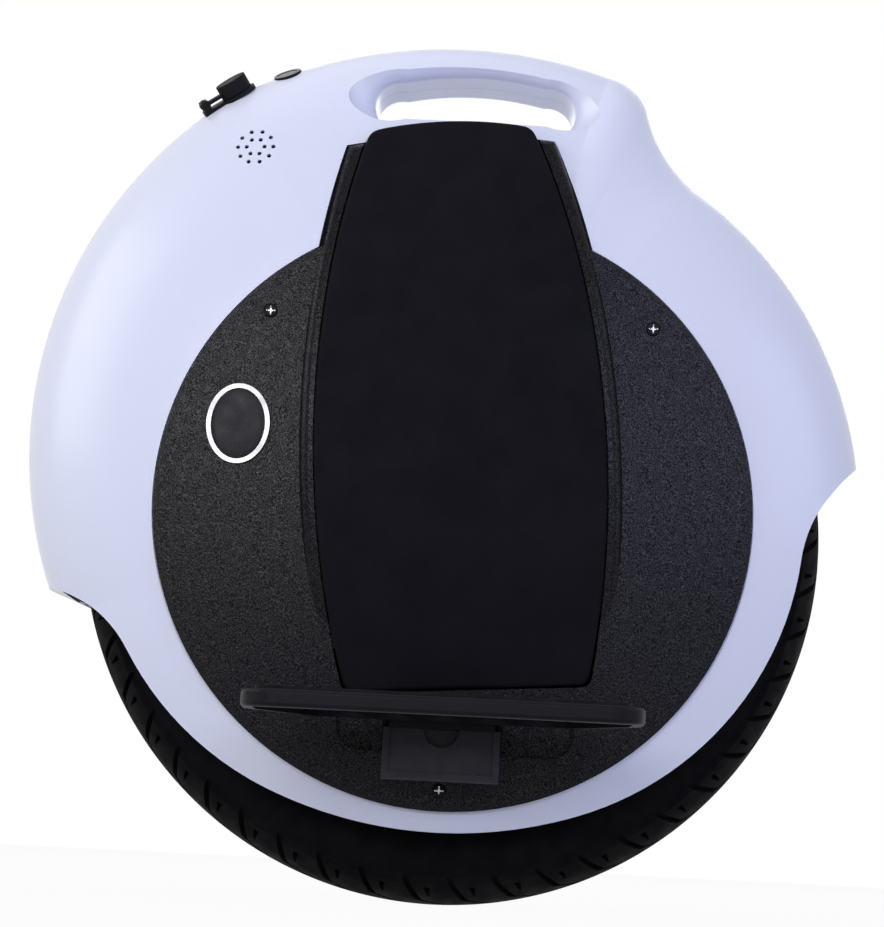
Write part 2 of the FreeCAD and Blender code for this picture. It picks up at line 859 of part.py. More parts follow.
def casing_wire(depth, inset=0):
    """Section of the casing: rear circle, handle, brow, notch and front circle."""
    def drawn(place, power):
        scale = crown_scale(depth, power, inset)
        rise = size("cover_rise")
        return (place[0] * scale, rise + (place[1] - rise) * scale)

    def flank(place):
        return drawn(place, full)

    full, shoulder, handle = size("crown_power"), size("shoulder_power"), size("handle_power")
    rear_angle, split, low, high = size("handle_rear_angle"), -40, -100, 20
    top = size("tyre_radius") + size("handle_rise") - inset
    brow_top = top - size("brow_drop")
    heel = flank(rear_heel(inset))
    back = drawn(rear_point((size("rear_tip_angle") + rear_angle) / 2, inset), (2 * full + shoulder) / 3)
    rear = drawn(rear_point(rear_angle, inset), shoulder)
    apex = drawn((size("handle_apex"), top), handle)
    brow = drawn((size("brow_reach") - inset / 2, brow_top), handle)
    nose = drawn((size("brow_nose") - inset, brow_top - size("brow_height")), shoulder)
    notch = flank(front_point(size("notch_angle"), inset))
    fading = 1 - depth / size("body_half_width")
    return Part.Wire([
        curve(heel, back, rear, depth),
        curve(rear, apex, brow, depth),
        curve(brow, bowed(brow, nose, size("brow_bulge")), nose, depth),
        curve(nose, bowed(nose, notch, -size("notch_hollow") * fading), notch, depth),
        curve(notch, flank(front_point(high, inset)), flank(front_point(split, inset)), depth),
        curve(flank(front_point(split, inset)), flank(front_point(low, inset)), heel, depth),
    ])


def crowned_casing(inset):
    """Right half of the casing as one loft that draws in with depth, smaller all round by inset."""
    sections, last_turn = 9, 80
    half = size("body_half_width") - inset
    turns = [math.radians(last_turn * step / (sections - 1)) for step in range(sections)]
    depths = [half * math.sin(turn) ** (2 / size("crown_power")) for turn in turns]
    return Part.makeLoft([casing_wire(depth, inset) for depth in depths], True, False)


def grip_edges(wall, flare=0, depth=0):
    """Handle opening grown by a wall, and flared at its round ends and arched top but not at its floor."""
    grow = wall + flare
    top = size("tyre_radius") + size("handle_rise") - size("grip_thick")
    floor = top - size("grip_gap") - wall
    rear, front = size("grip_rear") - grow, size("grip_front") + grow
    turn = size("grip_gap") / 2 + grow
    ends = top + grow - size("grip_arch")
    middle = (rear + front) / 2
    level = (floor + ends) / 2
    return [
        straight((rear + turn, floor), (front - turn, floor), depth),
        curve((front - turn, floor), (front, level), (front - turn, ends), depth),
        curve((front - turn, ends), (middle, top + grow), (rear + turn, ends), depth),
        curve((rear + turn, ends), (rear, level), (rear + turn, floor), depth),
    ]


def grip_solid(wall):
    """Handle opening grown by a wall: straight in the middle, then a lip that rolls out to the flank."""
    start, lip = size("grip_straight"), size("grip_flare")
    sections = []
    for turn in (0, 15, 30, 45):
        angle = math.radians(turn)
        sections.append((lip * (1 - math.cos(angle)), start + lip * math.sin(angle)))
    flare, depth = sections[-1]
    for part in (0.4, 1):
        run = part * (size("body_half_width") - depth)
        sections.append((flare + run * size("grip_slope"), depth + run))
    wires = [Part.Wire(grip_edges(wall, *section)) for section in sections]
    return slab(grip_edges(wall), 0, start).fuse(Part.makeLoft(wires, True, False))


def edges_at(body, places):
    """Edges across a slab that stand at the given places of its outline."""
    def stands(edge, place):
        ends = [vertex.Point for vertex in edge.Vertexes]
        return all(math.hypot(end.x - place[0], end.z - place[1]) < 0.01 for end in ends)

    return [edge for edge in body.Edges if any(stands(edge, place) for place in places)]


def kept_above(inset):
    """Everything above the casing's lower edges, which are drawn in by inset."""
    rise = size("cover_rise")
    ring = size("cover_radius") + size("ring_width") - inset
    low_radius = size("ring_low_radius") - inset
    low_centre = rise - size("ring_low") + size("ring_low_radius")
    join_z = (ring ** 2 - low_radius ** 2 - rise ** 2 + low_centre ** 2) / (2 * (low_centre - rise))
    join_x = math.sqrt(ring ** 2 - (join_z - rise) ** 2)
    hub = (0, rise)
    front_edge = on_circle(hub, ring, size("front_edge_angle"))
    rear_edge = on_circle(hub, ring, size("rear_edge_angle"))
    front_tip = front_point(size("front_tip_angle"))
    rear_tip = rear_point(size("rear_tip_angle"))
    front_tip = (front_tip[0], front_tip[1] + inset * 1.5)
    rear_tip = (rear_tip[0], rear_tip[1] + inset * 1.5)
    join_angle = math.degrees(math.atan2(join_z - rise, join_x))
    rear_middle = (size("rear_edge_angle") + 180 - join_angle) / 2
    front_middle = (join_angle + size("front_edge_angle")) / 2
    hollow = size("edge_hollow")
    far = 3 * size("tyre_radius")
    front_out = (front_tip[0] + far * 0.2, front_tip[1] + far * 0.25)
    rear_out = (rear_tip[0] - far * 0.2, rear_tip[1] + far * 0.05)
    edges = [
        curve(rear_tip, bowed(rear_tip, rear_edge, hollow), rear_edge),
        curve(rear_edge, on_circle(hub, ring, rear_middle), (-join_x, join_z)),
        curve((-join_x, join_z), (0, low_centre - low_radius), (join_x, join_z)),
        curve((join_x, join_z), on_circle(hub, ring, front_middle), front_edge),
        curve(front_edge, bowed(front_edge, front_tip, hollow), front_tip),
        straight(front_tip, front_out),
        straight(front_out, (front_out[0], far)),
        straight((front_out[0], far), (rear_out[0], far)),
        straight((rear_out[0], far), rear_out),
        straight(rear_out, rear_tip),
    ]
    body = slab(edges, -1, 2 * size("body_half_width"))
    body = body.makeFillet(size("edge_round"), edges_at(body, (rear_edge, front_edge)))
    return body.makeFillet(size("join_round"), edges_at(body, ((-join_x, join_z), (join_x, join_z))))


def rim_frame(angle, depth):
    """Placement on the rear flank: Z out of the surface, X along the rim towards the tail."""
    def spot(turn, reach):
        hub = at(cover_hub(), reach)
        ray = (at(rear_point(turn), reach) - hub) * 1.2
        return casing_wire(reach).distToShape(Part.makeLine(hub, hub + ray))[1][0][0]

    step = 0.05
    here = spot(angle, depth)
    along = (spot(angle + step, depth) - here).normalize()
    across = (spot(angle, depth + step) - here).normalize()
    normal = along.cross(across).normalize()
    side = normal.cross(along)
    return Placement(here, Rotation(along, side, normal, "ZXY"))


# Leg pad and the raised spine under it, in their leaning frame

def pad_frame(shape):
    lean = Rotation(Vector(0, 1, 0), -size("pad_lean"))
    place = Placement(Vector(size("pad_shift"), 0, size("pad_rise")), lean)
    return shape.transformed(place.toMatrix(), True)


def pad_edges(grow, top_drop=0, arch=0):
    top = size("pad_top") - top_drop + grow
    bottom = -size("pad_bottom") - grow
    wide = size("pad_half_width") + grow
    high = size("pad_top_half") + grow + top_drop * 0.25
    low = size("pad_bottom_half") + grow
    return [
        curve((high, top), (wide, 0), (low, bottom)),
        straight((low, bottom), (-low, bottom)),
        curve((-low, bottom), (-wide, 0), (-high, top)),
        curve((-high, top), (0, top + arch), (high, top)),
    ]


def spine_ball(proud):
    radius = size("spine_radius")
    return ball(radius + proud, (0, size("spine_peak")), size("spine_depth") - radius)


def edges_on_ball(shape, radius):
    """Edges of the face that lies on the ball of that radius."""
    face = next(
        face for face in shape.Faces
        if isinstance(face.Surface, Part.Sphere) and abs(face.Surface.Radius - radius) < 1e-6
    )
    return face.Edges


def pad_slab(grow):
    """Pad outline with its corners turned, as a solid that runs out past the spine."""
    body = slab(pad_edges(grow, arch=size("pad_arch")), 0, 2 * size("spine_depth"))
    corners = [edge for edge in body.Edges if abs(edge.tangentAt(edge.FirstParameter).y) > 0.999]
    return body.makeFillet(size("pad_corner") + grow, corners)


def leg_pad():
    body = pad_slab(0)
    body = body.common(spine_ball(size("pad_proud"))).cut(spine_ball(size("pad_proud") - size("pad_thick")))
    body = body.makeChamfer(size("pad_edge"), edges_on_ball(body, size("spine_radius") + size("pad_proud")))
    return pad_frame(body)


def pad_seat():
    """Room for the leg pad in what lies round and under it."""
    gap = size("pad_gap")
    return pad_frame(pad_slab(gap).cut(spine_ball(size("pad_proud") - size("pad_thick") - gap)))


def spine_edges(grow):
    border = size("spine_border")
    return pad_edges(border + grow, top_drop=size("spine_drop") + border, arch=size("pad_arch"))


def dome(thinner):
    """Ball whose cap is the crowned side cover."""
    crown = size("cover_crown")
    radius = (size("cover_radius") ** 2 + crown ** 2) / (2 * crown)
    return ball(radius - thinner, cover_hub(), size("cover_depth") + crown - radius)


def dome_depth(place, thinner=0):
    crown = size("cover_crown")
    radius = (size("cover_radius") ** 2 + crown ** 2) / (2 * crown)
    reach = math.hypot(place[0], place[1] - size("cover_rise"))
    return size("cover_depth") + crown - radius + math.sqrt((radius - thinner) ** 2 - reach ** 2)


def recess_edges(grow):
    half, corner = size("recess_half") + grow, size("recess_corner")
    shift = size("recess_shift")
    top, low = -size("recess_top") + grow, -size("recess_bottom") - grow
    bend = corner * (1 - math.sqrt(0.5))
    left, right = shift - half, shift + half
    return [
        straight((left, top), (right, top)),
        straight((right, top), (right, low + corner)),
        curve((right, low + corner), (right - bend, low + bend), (right - corner, low)),
        straight((right - corner, low), (left + corner, low)),
        curve((left + corner, low), (left + bend, low + bend), (left, low + corner)),
        straight((left, low + corner), (left, top)),
    ]


def cover_screw_places():
    reach = size("cover_screw_circle")
    places = [on_circle(cover_hub(), reach, angle) for angle in (45, 135)]
    return places + [on_circle(cover_hub(), size("cover_screw_low"), 270)]


def side_cover():
    thick = size("cover_thick")
    far = 2 * size("spine_depth")
    rim_back = size("cover_depth") - thick
    disc = drum(size("cover_radius"), rim_back, far, cover_hub()).common(dome(0))
    hollow = drum(size("cover_radius") - thick, 0, far, cover_hub()).common(dome(thick))
    spine = slab(spine_edges(0), size("spine_back"), far)
    spine = pad_frame(spine.common(spine_ball(0)))
    spine = spine.makeFillet(size("spine_edge"), edges_on_ball(spine, size("spine_radius")))
    sink = size("pad_proud") - size("pad_thick") - size("pad_gap")
    inside = pad_frame(slab(spine_edges(-thick), 0, far).common(spine_ball(sink - thick)))
    cover = disc.fuse(spine).cut(hollow).cut(inside)
    tray = slab(recess_edges(thick), size("recess_floor"), far).common(dome(0)).common(
        drum(size("cover_radius"), 0, far, cover_hub()))
    recess = slab(recess_edges(0), size("recess_floor") + thick * 0.7, far)
    cover = cover.fuse(tray).cut(pad_seat()).cut(recess)
    slot_half = size("foot_half") + 4 * size("fit_gap")
    slot = [(-slot_half, -size("recess_bottom") + 0.5), (slot_half, -size("arm_top") + 1)]
    cover = cover.cut(Part.makeBox(
        2 * slot_half, far, slot[1][1] - slot[0][1], Vector(slot[0][0], -far, slot[0][1])))
    for place in cover_screw_places():
        depth = dome_depth(place)
        cover = cover.cut(drum(size("screw_radius") + 0.2, 0, far, place))
        cover = cover.cut(drum(size("screw_head_radius") + 0.3, depth - size("screw_head") * 0.6, far, place))
    return cover.removeSplitter()


def shell_half():
    wall = size("wall")
    far = 2 * size("body_half_width")
    outer = crowned_casing(0).common(kept_above(0))
    shell = outer.cut(crowned_casing(wall).common(kept_above(wall)))
    collar = grip_solid(wall).common(outer)
    seat = size("cover_depth") - size("cover_thick") - size("fit_gap")
    ledge = drum(size("cover_radius") + 2 * wall, seat - size("ledge_thick"), seat, cover_hub())
    shell = shell.fuse(collar).fuse(ledge.common(outer)).cut(grip_solid(0))
    shell = shell.cut(drum(size("cover_radius") + size("cover_gap"), seat, far, cover_hub()))
    shell = shell.cut(drum(size("cover_radius") - size("ledge_width"), 0, far, cover_hub()))
    shell = shell.cut(drum(size("tyre_radius") + size("well_gap"), -1, size("well_half_width")))
    gap, back = size("cover_gap"), size("spine_back")
    frame = pad_frame(slab(spine_edges(gap + wall), back - gap, far)).common(outer)
    shell = shell.fuse(frame.cut(drum(size("cover_radius") + gap, 0, far, cover_hub())))
    slot = pad_frame(slab(spine_edges(gap), back - gap, far))
    return shell.cut(slot).cut(pad_seat())


def right_fittings(shell):
    """Openings that only the right half has: sound holes, charge port and power button."""
    far = 2 * size("body_half_width")
    middle = rim_frame(size("speaker_angle"), size("speaker_depth")).Base
    rings = (("grille_outer", "grille_outer_count"), ("grille_inner", "grille_inner_count"))
    for ring, count in rings:
        holes = int(size(count))
        for hole in range(holes):
            place = on_circle((middle.x, middle.z), size(ring), 360 * hole / holes)
            shell = shell.cut(drum(size("grille_hole"), size("well_half_width"), far, place))
    reach = 25
    for angle, hole, seat in (
        ("port_angle", size("port_body"), size("flange_radius")),
        ("button_angle", size("button_radius") + size("button_gap") + size("bezel_width") - 0.6,
         size("button_radius") + size("button_gap") + size("bezel_width")),
    ):
        tool = Part.makeCylinder(hole + size("fit_gap"), 2 * reach, Vector(0, 0, -reach))
        tool = tool.fuse(Part.makeCylinder(seat + size("fit_gap"), reach, Vector(0, 0, -size("seat_sink"))))
        if angle == "port_angle":
            half = size("strap_half") + 2 * size("fit_gap") + size("post_thick")
            end = size("strap_reach") + size("eye_radius")
            tool = tool.fuse(Part.makeBox(
                end + size("fit_gap"), 2 * half, reach, Vector(0, -half, -size("seat_sink"))))
        tool.Placement = rim_frame(size(angle), size("port_depth"))
        shell = shell.cut(tool)
    return shell


def wheel_liner():
    wall = size("wall") + size("fit_gap")
    near = size("well_half_width") + size("fit_gap")
    far = near + size("liner_thick")
    face = Part.Face(casing_wire(far, wall))
    plate = face.extrude(Vector(0, far - near, 0)).common(kept_above(wall))
    for place in cover_screw_places():
        post = dome_depth(place, size("cover_thick")) - 0.5
        plate = plate.fuse(drum(size("post_radius"), near, post, place))
    boss = size("hanger_bolt_radius") + size("wall")
    for x, z in hanger_bolt_places():
        plate = plate.fuse(drum(boss, near, size("hanger_inner") - size("fit_gap"), (x, z)))
    for place in cover_screw_places():
        plate = plate.cut(drum(size("screw_radius") + 0.1, size("well_half_width") + 8, 200, place))
    for place in hanger_bolt_places():
        plate = plate.cut(drum(size("hanger_bolt_radius") + 0.1, 0, 200, place))
    return plate.cut(drum(size("liner_hub"), 0, 200)).cut(grip_solid(wall))


def speaker_room():
    """Clearance round the loudspeaker behind its sound holes."""
    gap = 2 * size("fit_gap")
    deep = size("wall") + size("speaker_sag") + size("speaker_thick") + gap
    room = Part.makeCylinder(size("speaker_radius") + gap, deep, Vector(0, 0, -deep))
    room.Placement = rim_frame(size("speaker_angle"), size("speaker_depth"))
    return room


def hanger_bolt_places():
    across = size("hanger_bolt_x")
    levels = (-size("hanger_bolt_upper"), -size("hanger_bolt_lower"))
    return [(x, z) for x in (-across, across) for z in levels]


def make_casing():
    half = shell_half()
    from_shape(right_fittings(half), "shell_right")
    from_shape(half.mirror(Vector(0, 0, 0), Vector(0, 1, 0)), "shell_left")
    mirrored(from_shape(side_cover(), "side_cover_right"), "side_cover_left")
    mirrored(from_shape(leg_pad(), "leg_pad_right"), "leg_pad_left")
    liner = wheel_liner()
    from_shape(liner.cut(speaker_room()), "wheel_liner_right")
    from_shape(liner.mirror(Vector(0, 0, 0), Vector(0, 1, 0)), "wheel_liner_left")


def make_mudguard():
    body = new_body("mudguard")
    inner = "({tyre_radius} + {mudguard_gap})"
    half = "({well_half_width} - {fit_gap})"
    sketch = start_sketch(body, "section", "YZ_Plane")
    rectangle(sketch, f"-{half}", half, inner, f"{inner} + {{mudguard_thick}}")
    bow = feature(body, "Revolution", sketch)
    bow.Midplane = True
    bind(bow, "Angle", "Sizes.mudguard_sweep")
    body.Placement.Rotation = Rotation(Vector(0, -1, 0), size("mudguard_turn"))


# Hanger, pedal and hinge

def make_hanger():
    body = new_body("pedal_hanger_right")
    leg = outline(start_sketch(body, "leg", "XZ_Plane", "{hanger_inner}"), [
        ("{leg_half}", "-{arm_bottom}"),
        ("{leg_half}", "0", "{leg_half}", 1),
        ("-{leg_half}", "0"),
        ("-{leg_half}", "-{arm_bottom}"),
    ])
    pad(body, leg, "{hanger_leg}")
    arm = outline(start_sketch(body, "arm", "YZ_Plane"), [
        ("-{hanger_inner}", "-{arm_bottom}"),
        ("-{hanger_inner}", "-{arm_top}"),
        ("-{arm_end}", "-{arm_top}"),
        ("-{arm_end}", "-{foot_top}"),
        ("-{foot_outer}", "-{foot_top}"),
        ("-{foot_outer}", "-{foot_bottom}"),
        ("-{foot_inner}", "-{foot_bottom}"),
        ("-{foot_inner}", "-{arm_bottom}"),
    ])
    pad(body, arm, "2 * {foot_half}", symmetric=True)
    knuckle = outline(start_sketch(body, "knuckle", "YZ_Plane"), [
        ("-({pin_out} + {knuckle_radius})", "-({foot_top} + 1)"),
        ("-({pin_out} - {knuckle_radius})", "-({foot_top} + 1)"),
        ("-({pin_out} - {knuckle_radius})", "-{pin_down}", "{knuckle_radius}", 1),
        ("-({pin_out} + {knuckle_radius})", "-{pin_down}"),
    ])
    pad(body, knuckle, "2 * {knuckle_half}", symmetric=True)
    bore = start_sketch(body, "bore", "YZ_Plane")
    circle(bore, "-{pin_out}", "-{pin_down}", "{pin_radius} + {pin_gap}")
    pocket(body, bore, "2 * {knuckle_half} + 2", symmetric=True)
    flat = "({axle_flat} + {pin_gap})"
    reach = "({axle_end_radius} + {pin_gap})"
    chord = f"sqrt({reach}^2 - {flat}^2)"
    eye = outline(start_sketch(body, "axle_eye", "XZ_Plane", "{hanger_inner} - 1"), [
        (chord, f"-{flat}", reach, 1),
        (chord, flat),
        (f"-{chord}", flat, reach, 1),
        (f"-{chord}", f"-{flat}"),
    ])
    pocket(body, eye, "{hanger_leg} + 2", reverse=True)
    panel = start_sketch(body, "panel", "XZ_Plane", "{foot_outer}")
    rectangle(panel, "-({foot_half} - {foot_rim})", "{foot_half} - {foot_rim}",
              "-({foot_bottom} - {foot_rim})", "-{foot_top} + 1")
    pocket(body, panel, "{foot_panel}")
    notch = start_sketch(body, "notch", "XZ_Plane", "{foot_outer}")
    circle(notch, "0", "-{foot_top}", "{foot_notch}")
    pocket(body, notch, "{foot_outer} - {pin_out} - {knuckle_radius} - 1")
    drill = start_sketch(body, "bolt_holes", "XZ_Plane", "{hanger_inner} - 1")
    bolt_circles(drill, "{hanger_bolt_radius} + {pin_gap}")
    pocket(body, drill, "{hanger_leg} + 2", reverse=True)
    mirrored(body, "pedal_hanger_left")


def bolt_circles(sketch, radius):
    for side in ("", "-"):
        for level in ("{hanger_bolt_upper}", "{hanger_bolt_lower}"):
            circle(sketch, f"{side}{{hanger_bolt_x}}", f"-{level}", radius)
    return sketch


def make_hanger_bolts():
    body = new_body("hanger_bolts")
    face = "({hanger_inner} + {hanger_leg})"
    length = f"({face} - {{well_half_width}} - {{fit_gap}})"
    for side, reverse in (("", False), ("-", True)):
        head = bolt_circles(start_sketch(body, "heads", "XZ_Plane", f"{side}{face}"), "{hanger_bolt_head}")
        pad(body, head, "{hanger_bolt_head_tall}", reverse=reverse)
        shank = start_sketch(body, "shanks", "XZ_Plane", f"{side}{face}")
        bolt_circles(shank, "{hanger_bolt_radius}")
        pad(body, shank, length, reverse=not reverse)


def at_hinge(body):
    """Move a body drawn about the hinge pin to its place, tilted like the pedal."""
    tilt = Rotation(Vector(-1, 0, 0), size("pedal_tilt"))
    body.Placement = Placement(Vector(0, -size("pin_out"), size("tyre_radius") - size("pin_down")), tilt)
    bind(body, "Placement.Base.y", "-Sizes.pin_out")
    bind(body, "Placement.Base.z", "Sizes.tyre_radius - Sizes.pin_down")


def pedal_plan(sketch, inset):
    """Plan of the pedal, drawn in by inset."""
    inner = f"({{pedal_inner}} + {inset})"
    outer = f"({{pedal_reach}} - {inset})"
    near = f"({{pedal_inner_half}} - {inset})"
    far = f"({{pedal_outer_half}} - {inset})"
    return outline(sketch, [
        (f"-{near}", f"-{inner}"),
        (f"-{far}", "-{pedal_shoulder}"),
        (f"-{far}", f"-{outer}"),
        (far, f"-{outer}"),
        (far, "-{pedal_shoulder}"),
        (near, f"-{inner}"),
    ])


def round_edges(body, base, chosen, radius):
    """Fillet of the base's edges that the test picks."""
    doc.recompute()
    names = [f"Edge{number}" for number, edge in enumerate(base.Shape.Edges, start=1) if chosen(edge)]
    fillet = body.newObject("PartDesign::Fillet", f"{body.Name}_round")
    fillet.Base = (base, names)
    bind(fillet, "Radius", s(radius))
    return fillet


def upright(edge):
    ends = [vertex.Point for vertex in edge.Vertexes]
    return len(ends) == 2 and (ends[0] - ends[1]).cross(Vector(0, 0, 1)).Length < 1e-6


def slot_rows(body, top, depth):
    """Two rows of round-ended slots cut down from a level."""
    rows = (("{slot_inner_count}", "0"), ("{slot_outer_count}", "{slot_row}"))
    for row, (count, shift) in enumerate(rows):
        turn = "({slot_width} / 2)"
        left = f"(-{{slot_pitch}} * ({count} - 1) / 2)"
        near = f"(-{{slot_inset}} - {shift} - {turn})"
        far = f"({near} - {{slot_length}} + {{slot_width}})"
        sketch = outline(start_sketch(body, f"slot_{row}", "XY_Plane", top), [
            (f"{left} + {turn}", near, turn, 1),
            (f"{left} - {turn}", near),
            (f"{left} - {turn}", far, turn, 1),
            (f"{left} + {turn}", far),
        ])
        cut = pocket(body, sketch, depth)
        row_pattern = body.newObject("PartDesign::LinearPattern", f"{body.Name}_row")
        row_pattern.Originals = [cut]
        row_pattern.Direction = (sketch, ["H_Axis"])
        bind(row_pattern, "Length", s(f"{{slot_pitch}} * ({count} - 1)"))
        bind(row_pattern, "Occurrences", s(count))
        body.Tip = row_pattern


def make_pedal():
    body = new_body("pedal_right")
    low = "({pedal_top} - {pedal_thick})"
    plate = pad(body, pedal_plan(start_sketch(body, "plan", "XY_Plane", low), "0"), "{pedal_thick}")

    def outer_corner(edge):
        return upright(edge) and edge.BoundBox.YMax < -size("pedal_inner") - 1

    def level(edge):
        return not upright(edge) and edge.BoundBox.ZLength < 1e-6

    corners = round_edges(body, plate, outer_corner, "{pedal_corner}")
    round_edges(body, corners, level, "{pedal_edge}")
    under = pedal_plan(start_sketch(body, "under", "XY_Plane", low), "{pedal_rim}")
    pocket(body, under, "{pedal_under}", reverse=True)
    heel = start_sketch(body, "heel", "XY_Plane", f"{low} - {{heel_depth}}")
    rectangle(heel, "-{heel_half}", "{heel_half}", "-{pedal_inner} - {heel_width}", "-{pedal_inner} - 0.1")
    pad(body, heel, "{heel_depth} + {pedal_edge} + 1")
    inside = "({knuckle_half} + {lug_gap})"
    length = f"({{foot_half}} - {inside})"
    for start in (inside, "-{foot_half}"):
        lug = start_sketch(body, "lug", "YZ_Plane", start)
        outline(lug, [
            ("0", "-{knuckle_radius}", "{knuckle_radius}", 1),
            ("0", "{knuckle_radius}"),
            ("-{pedal_inner} - {pedal_rim} + 1", "{pedal_top} - 0.5"),
            ("-{pedal_inner} - {pedal_rim} + 1", f"{low} + 0.5"),
            ("-{knuckle_radius}", f"{low} + 0.5"),
        ])
        pad(body, lug, length)
    bore = circle(start_sketch(body, "bore", "YZ_Plane"), "0", "0", "{pin_radius} + {seat_gap}")
    pocket(body, bore, "2 * {foot_half} + 2", symmetric=True)
    slot_rows(body, "{pedal_top} + 1", "{pedal_thick} + 2")
    at_hinge(body)
    mirrored(body, "pedal_left")

    mat = new_body("pedal_grip_right")
    plan = pedal_plan(start_sketch(mat, "plan", "XY_Plane", "{pedal_top}"), "{pedal_rim}")
    sheet_pad = pad(mat, plan, "{grip_mat}")
    round_edges(mat, sheet_pad, upright, "{pedal_corner} / 2")
    slot_rows(mat, "{pedal_top} + {grip_mat} + 1", "{grip_mat} + 2")
    at_hinge(mat)
    mirrored(mat, "pedal_grip_left")

    pin = new_body("hinge_pin_right")
    rod = circle(start_sketch(pin, "rod", "YZ_Plane"), "0", "0", "{pin_radius}")
    pad(pin, rod, "2 * {foot_half}", symmetric=True)
    at_hinge(pin)
    mirrored(pin, "hinge_pin_left")


# Battery and electronics behind the side covers

def block(body, name, across, deep, up):
    """Box from (low, high) ranges: across is X, deep the distance to the right, up is Z."""
    sketch = rectangle(start_sketch(body, name, "XZ_Plane", deep[0]), *across, *up)
    return pad(body, sketch, f"({deep[1]}) - ({deep[0]})")


def in_line(body, original, sketch, axis, length, count):
    pattern = body.newObject("PartDesign::LinearPattern", f"{body.Name}_line")
    pattern.Originals = [original]
    pattern.Direction = (sketch, [axis])
    bind(pattern, "Length", s(length))
    bind(pattern, "Occurrences", s(count))
    body.Tip = pattern


LINER_FACE = "({well_half_width} + 2 * {fit_gap} + {liner_thick})"


def make_battery():
    body = new_body("battery_pack_right")
    middle = f"({LINER_FACE} + {{cell_radius}})"
    half = "({cell_count} - 1) * {cell_radius}"
    wrap = start_sketch(body, "wrap", "XY_Plane", "{cell_rise}")
    deep = "{cell_radius} * 0.9"
    rectangle(wrap, f"-{half}", half, f"-{middle} - {deep}", f"-{middle} + {deep}")
    pad(body, wrap, "{cell_length}")
    cell = start_sketch(body, "cell", "XY_Plane", "{cell_rise}")
    circle(cell, f"-{half}", f"-{middle}", "{cell_radius}")
    rod = pad(body, cell, "{cell_length}")
    in_line(body, rod, cell, "H_Axis", "2 * {cell_radius} * ({cell_count} - 1)", "{cell_count}")
    mirrored(body, "battery_pack_left")


def make_control():
    left, right = "(-{control_rear} - {control_length})", "-{control_rear}"
    low, high = "({control_rise} - {control_height} / 2)", "({control_rise} + {control_height} / 2)"
    plate_far = f"({LINER_FACE} + {{heatsink_thick}})"
    chip_far = f"({plate_far} + {{mosfet_thick}})"
    board_near = f"({chip_far} + {{fit_gap}})"
    board_far = f"({board_near} + {{board_thick}})"
    block(new_body("heatsink"), "plate", (left, right), (LINER_FACE, plate_far), (low, high))

    chips = new_body("mosfets")
    first = f"({left} + {{mosfet_width}} / 2)"
    chip = block(chips, "chip", (first, f"{first} + {{mosfet_width}}"), (plate_far, chip_far),
                 (f"{high} - {{mosfet_tall}} - 4", f"{high} - 4"))
    pitch = "({control_length} - 2 * {mosfet_width}) / ({mosfet_count} - 1)"
    in_line(chips, chip, chip.Profile[0], "H_Axis", f"({pitch}) * ({{mosfet_count}} - 1)", "{mosfet_count}")

    block(new_body("control_board"), "board", (left, right), (board_near, board_far), (low, high))

    cans = new_body("capacitors")
    can = circle(start_sketch(cans, "can", "XZ_Plane", board_far), f"{left} + 2 * {{capacitor_radius}}",
                 f"{low} + 2 * {{capacitor_radius}}", "{capacitor_radius}")
    rod = pad(cans, can, "{capacitor_length}")
    in_line(cans, rod, can, "H_Axis", "5 * {capacitor_radius}", "3")

    monitor = new_body("bms_board")
    sketch = rectangle(start_sketch(monitor, "board", "XZ_Plane", f"-{LINER_FACE}"),
                       "-{control_rear} - {bms_length}", "-{control_rear}",
                       "-{bms_height} / 2", "{bms_height} / 2")
    pad(monitor, sketch, "{board_thick}", reverse=True)


# Fittings on the rear flank, each drawn with Z out of the surface

def on_rim(body, angle, depth, sink=0):
    frame = rim_frame(size(angle), size(depth))
    frame.Base = frame.Base + frame.Rotation.multVec(Vector(0, 0, -sink)) + Vector(0, 0, size("tyre_radius"))
    body.setExpression("Placement.Base.z", None)
    body.Placement = frame
    return body


def lathed(body, corners):
    """Body of revolution about its own Z, from (radius, height) corners."""
    sketch = outline(start_sketch(body, f"{body.Name}_profile", "XZ_Plane"), corners)
    made = feature(body, "Revolution", sketch)
    made.ReferenceAxis = (sketch, ["V_Axis"])
    return made


def make_speaker():
    body = new_body("speaker")
    lathed(body, [
        ("0", "-{speaker_thick}"),
        ("{speaker_radius} * 0.6", "-{speaker_thick}"),
        ("{speaker_radius} * 0.6", "-{speaker_thick} / 2"),
        ("{speaker_radius}", "-{speaker_thick} / 3"),
        ("{speaker_radius}", "0"),
        ("{speaker_radius} * 0.85", "0"),
        ("{speaker_radius} * 0.3", "-{speaker_thick} / 3"),
        ("0", "-{speaker_thick} / 3"),
    ])
    on_rim(body, "speaker_angle", "speaker_depth", size("wall") + size("speaker_sag"))


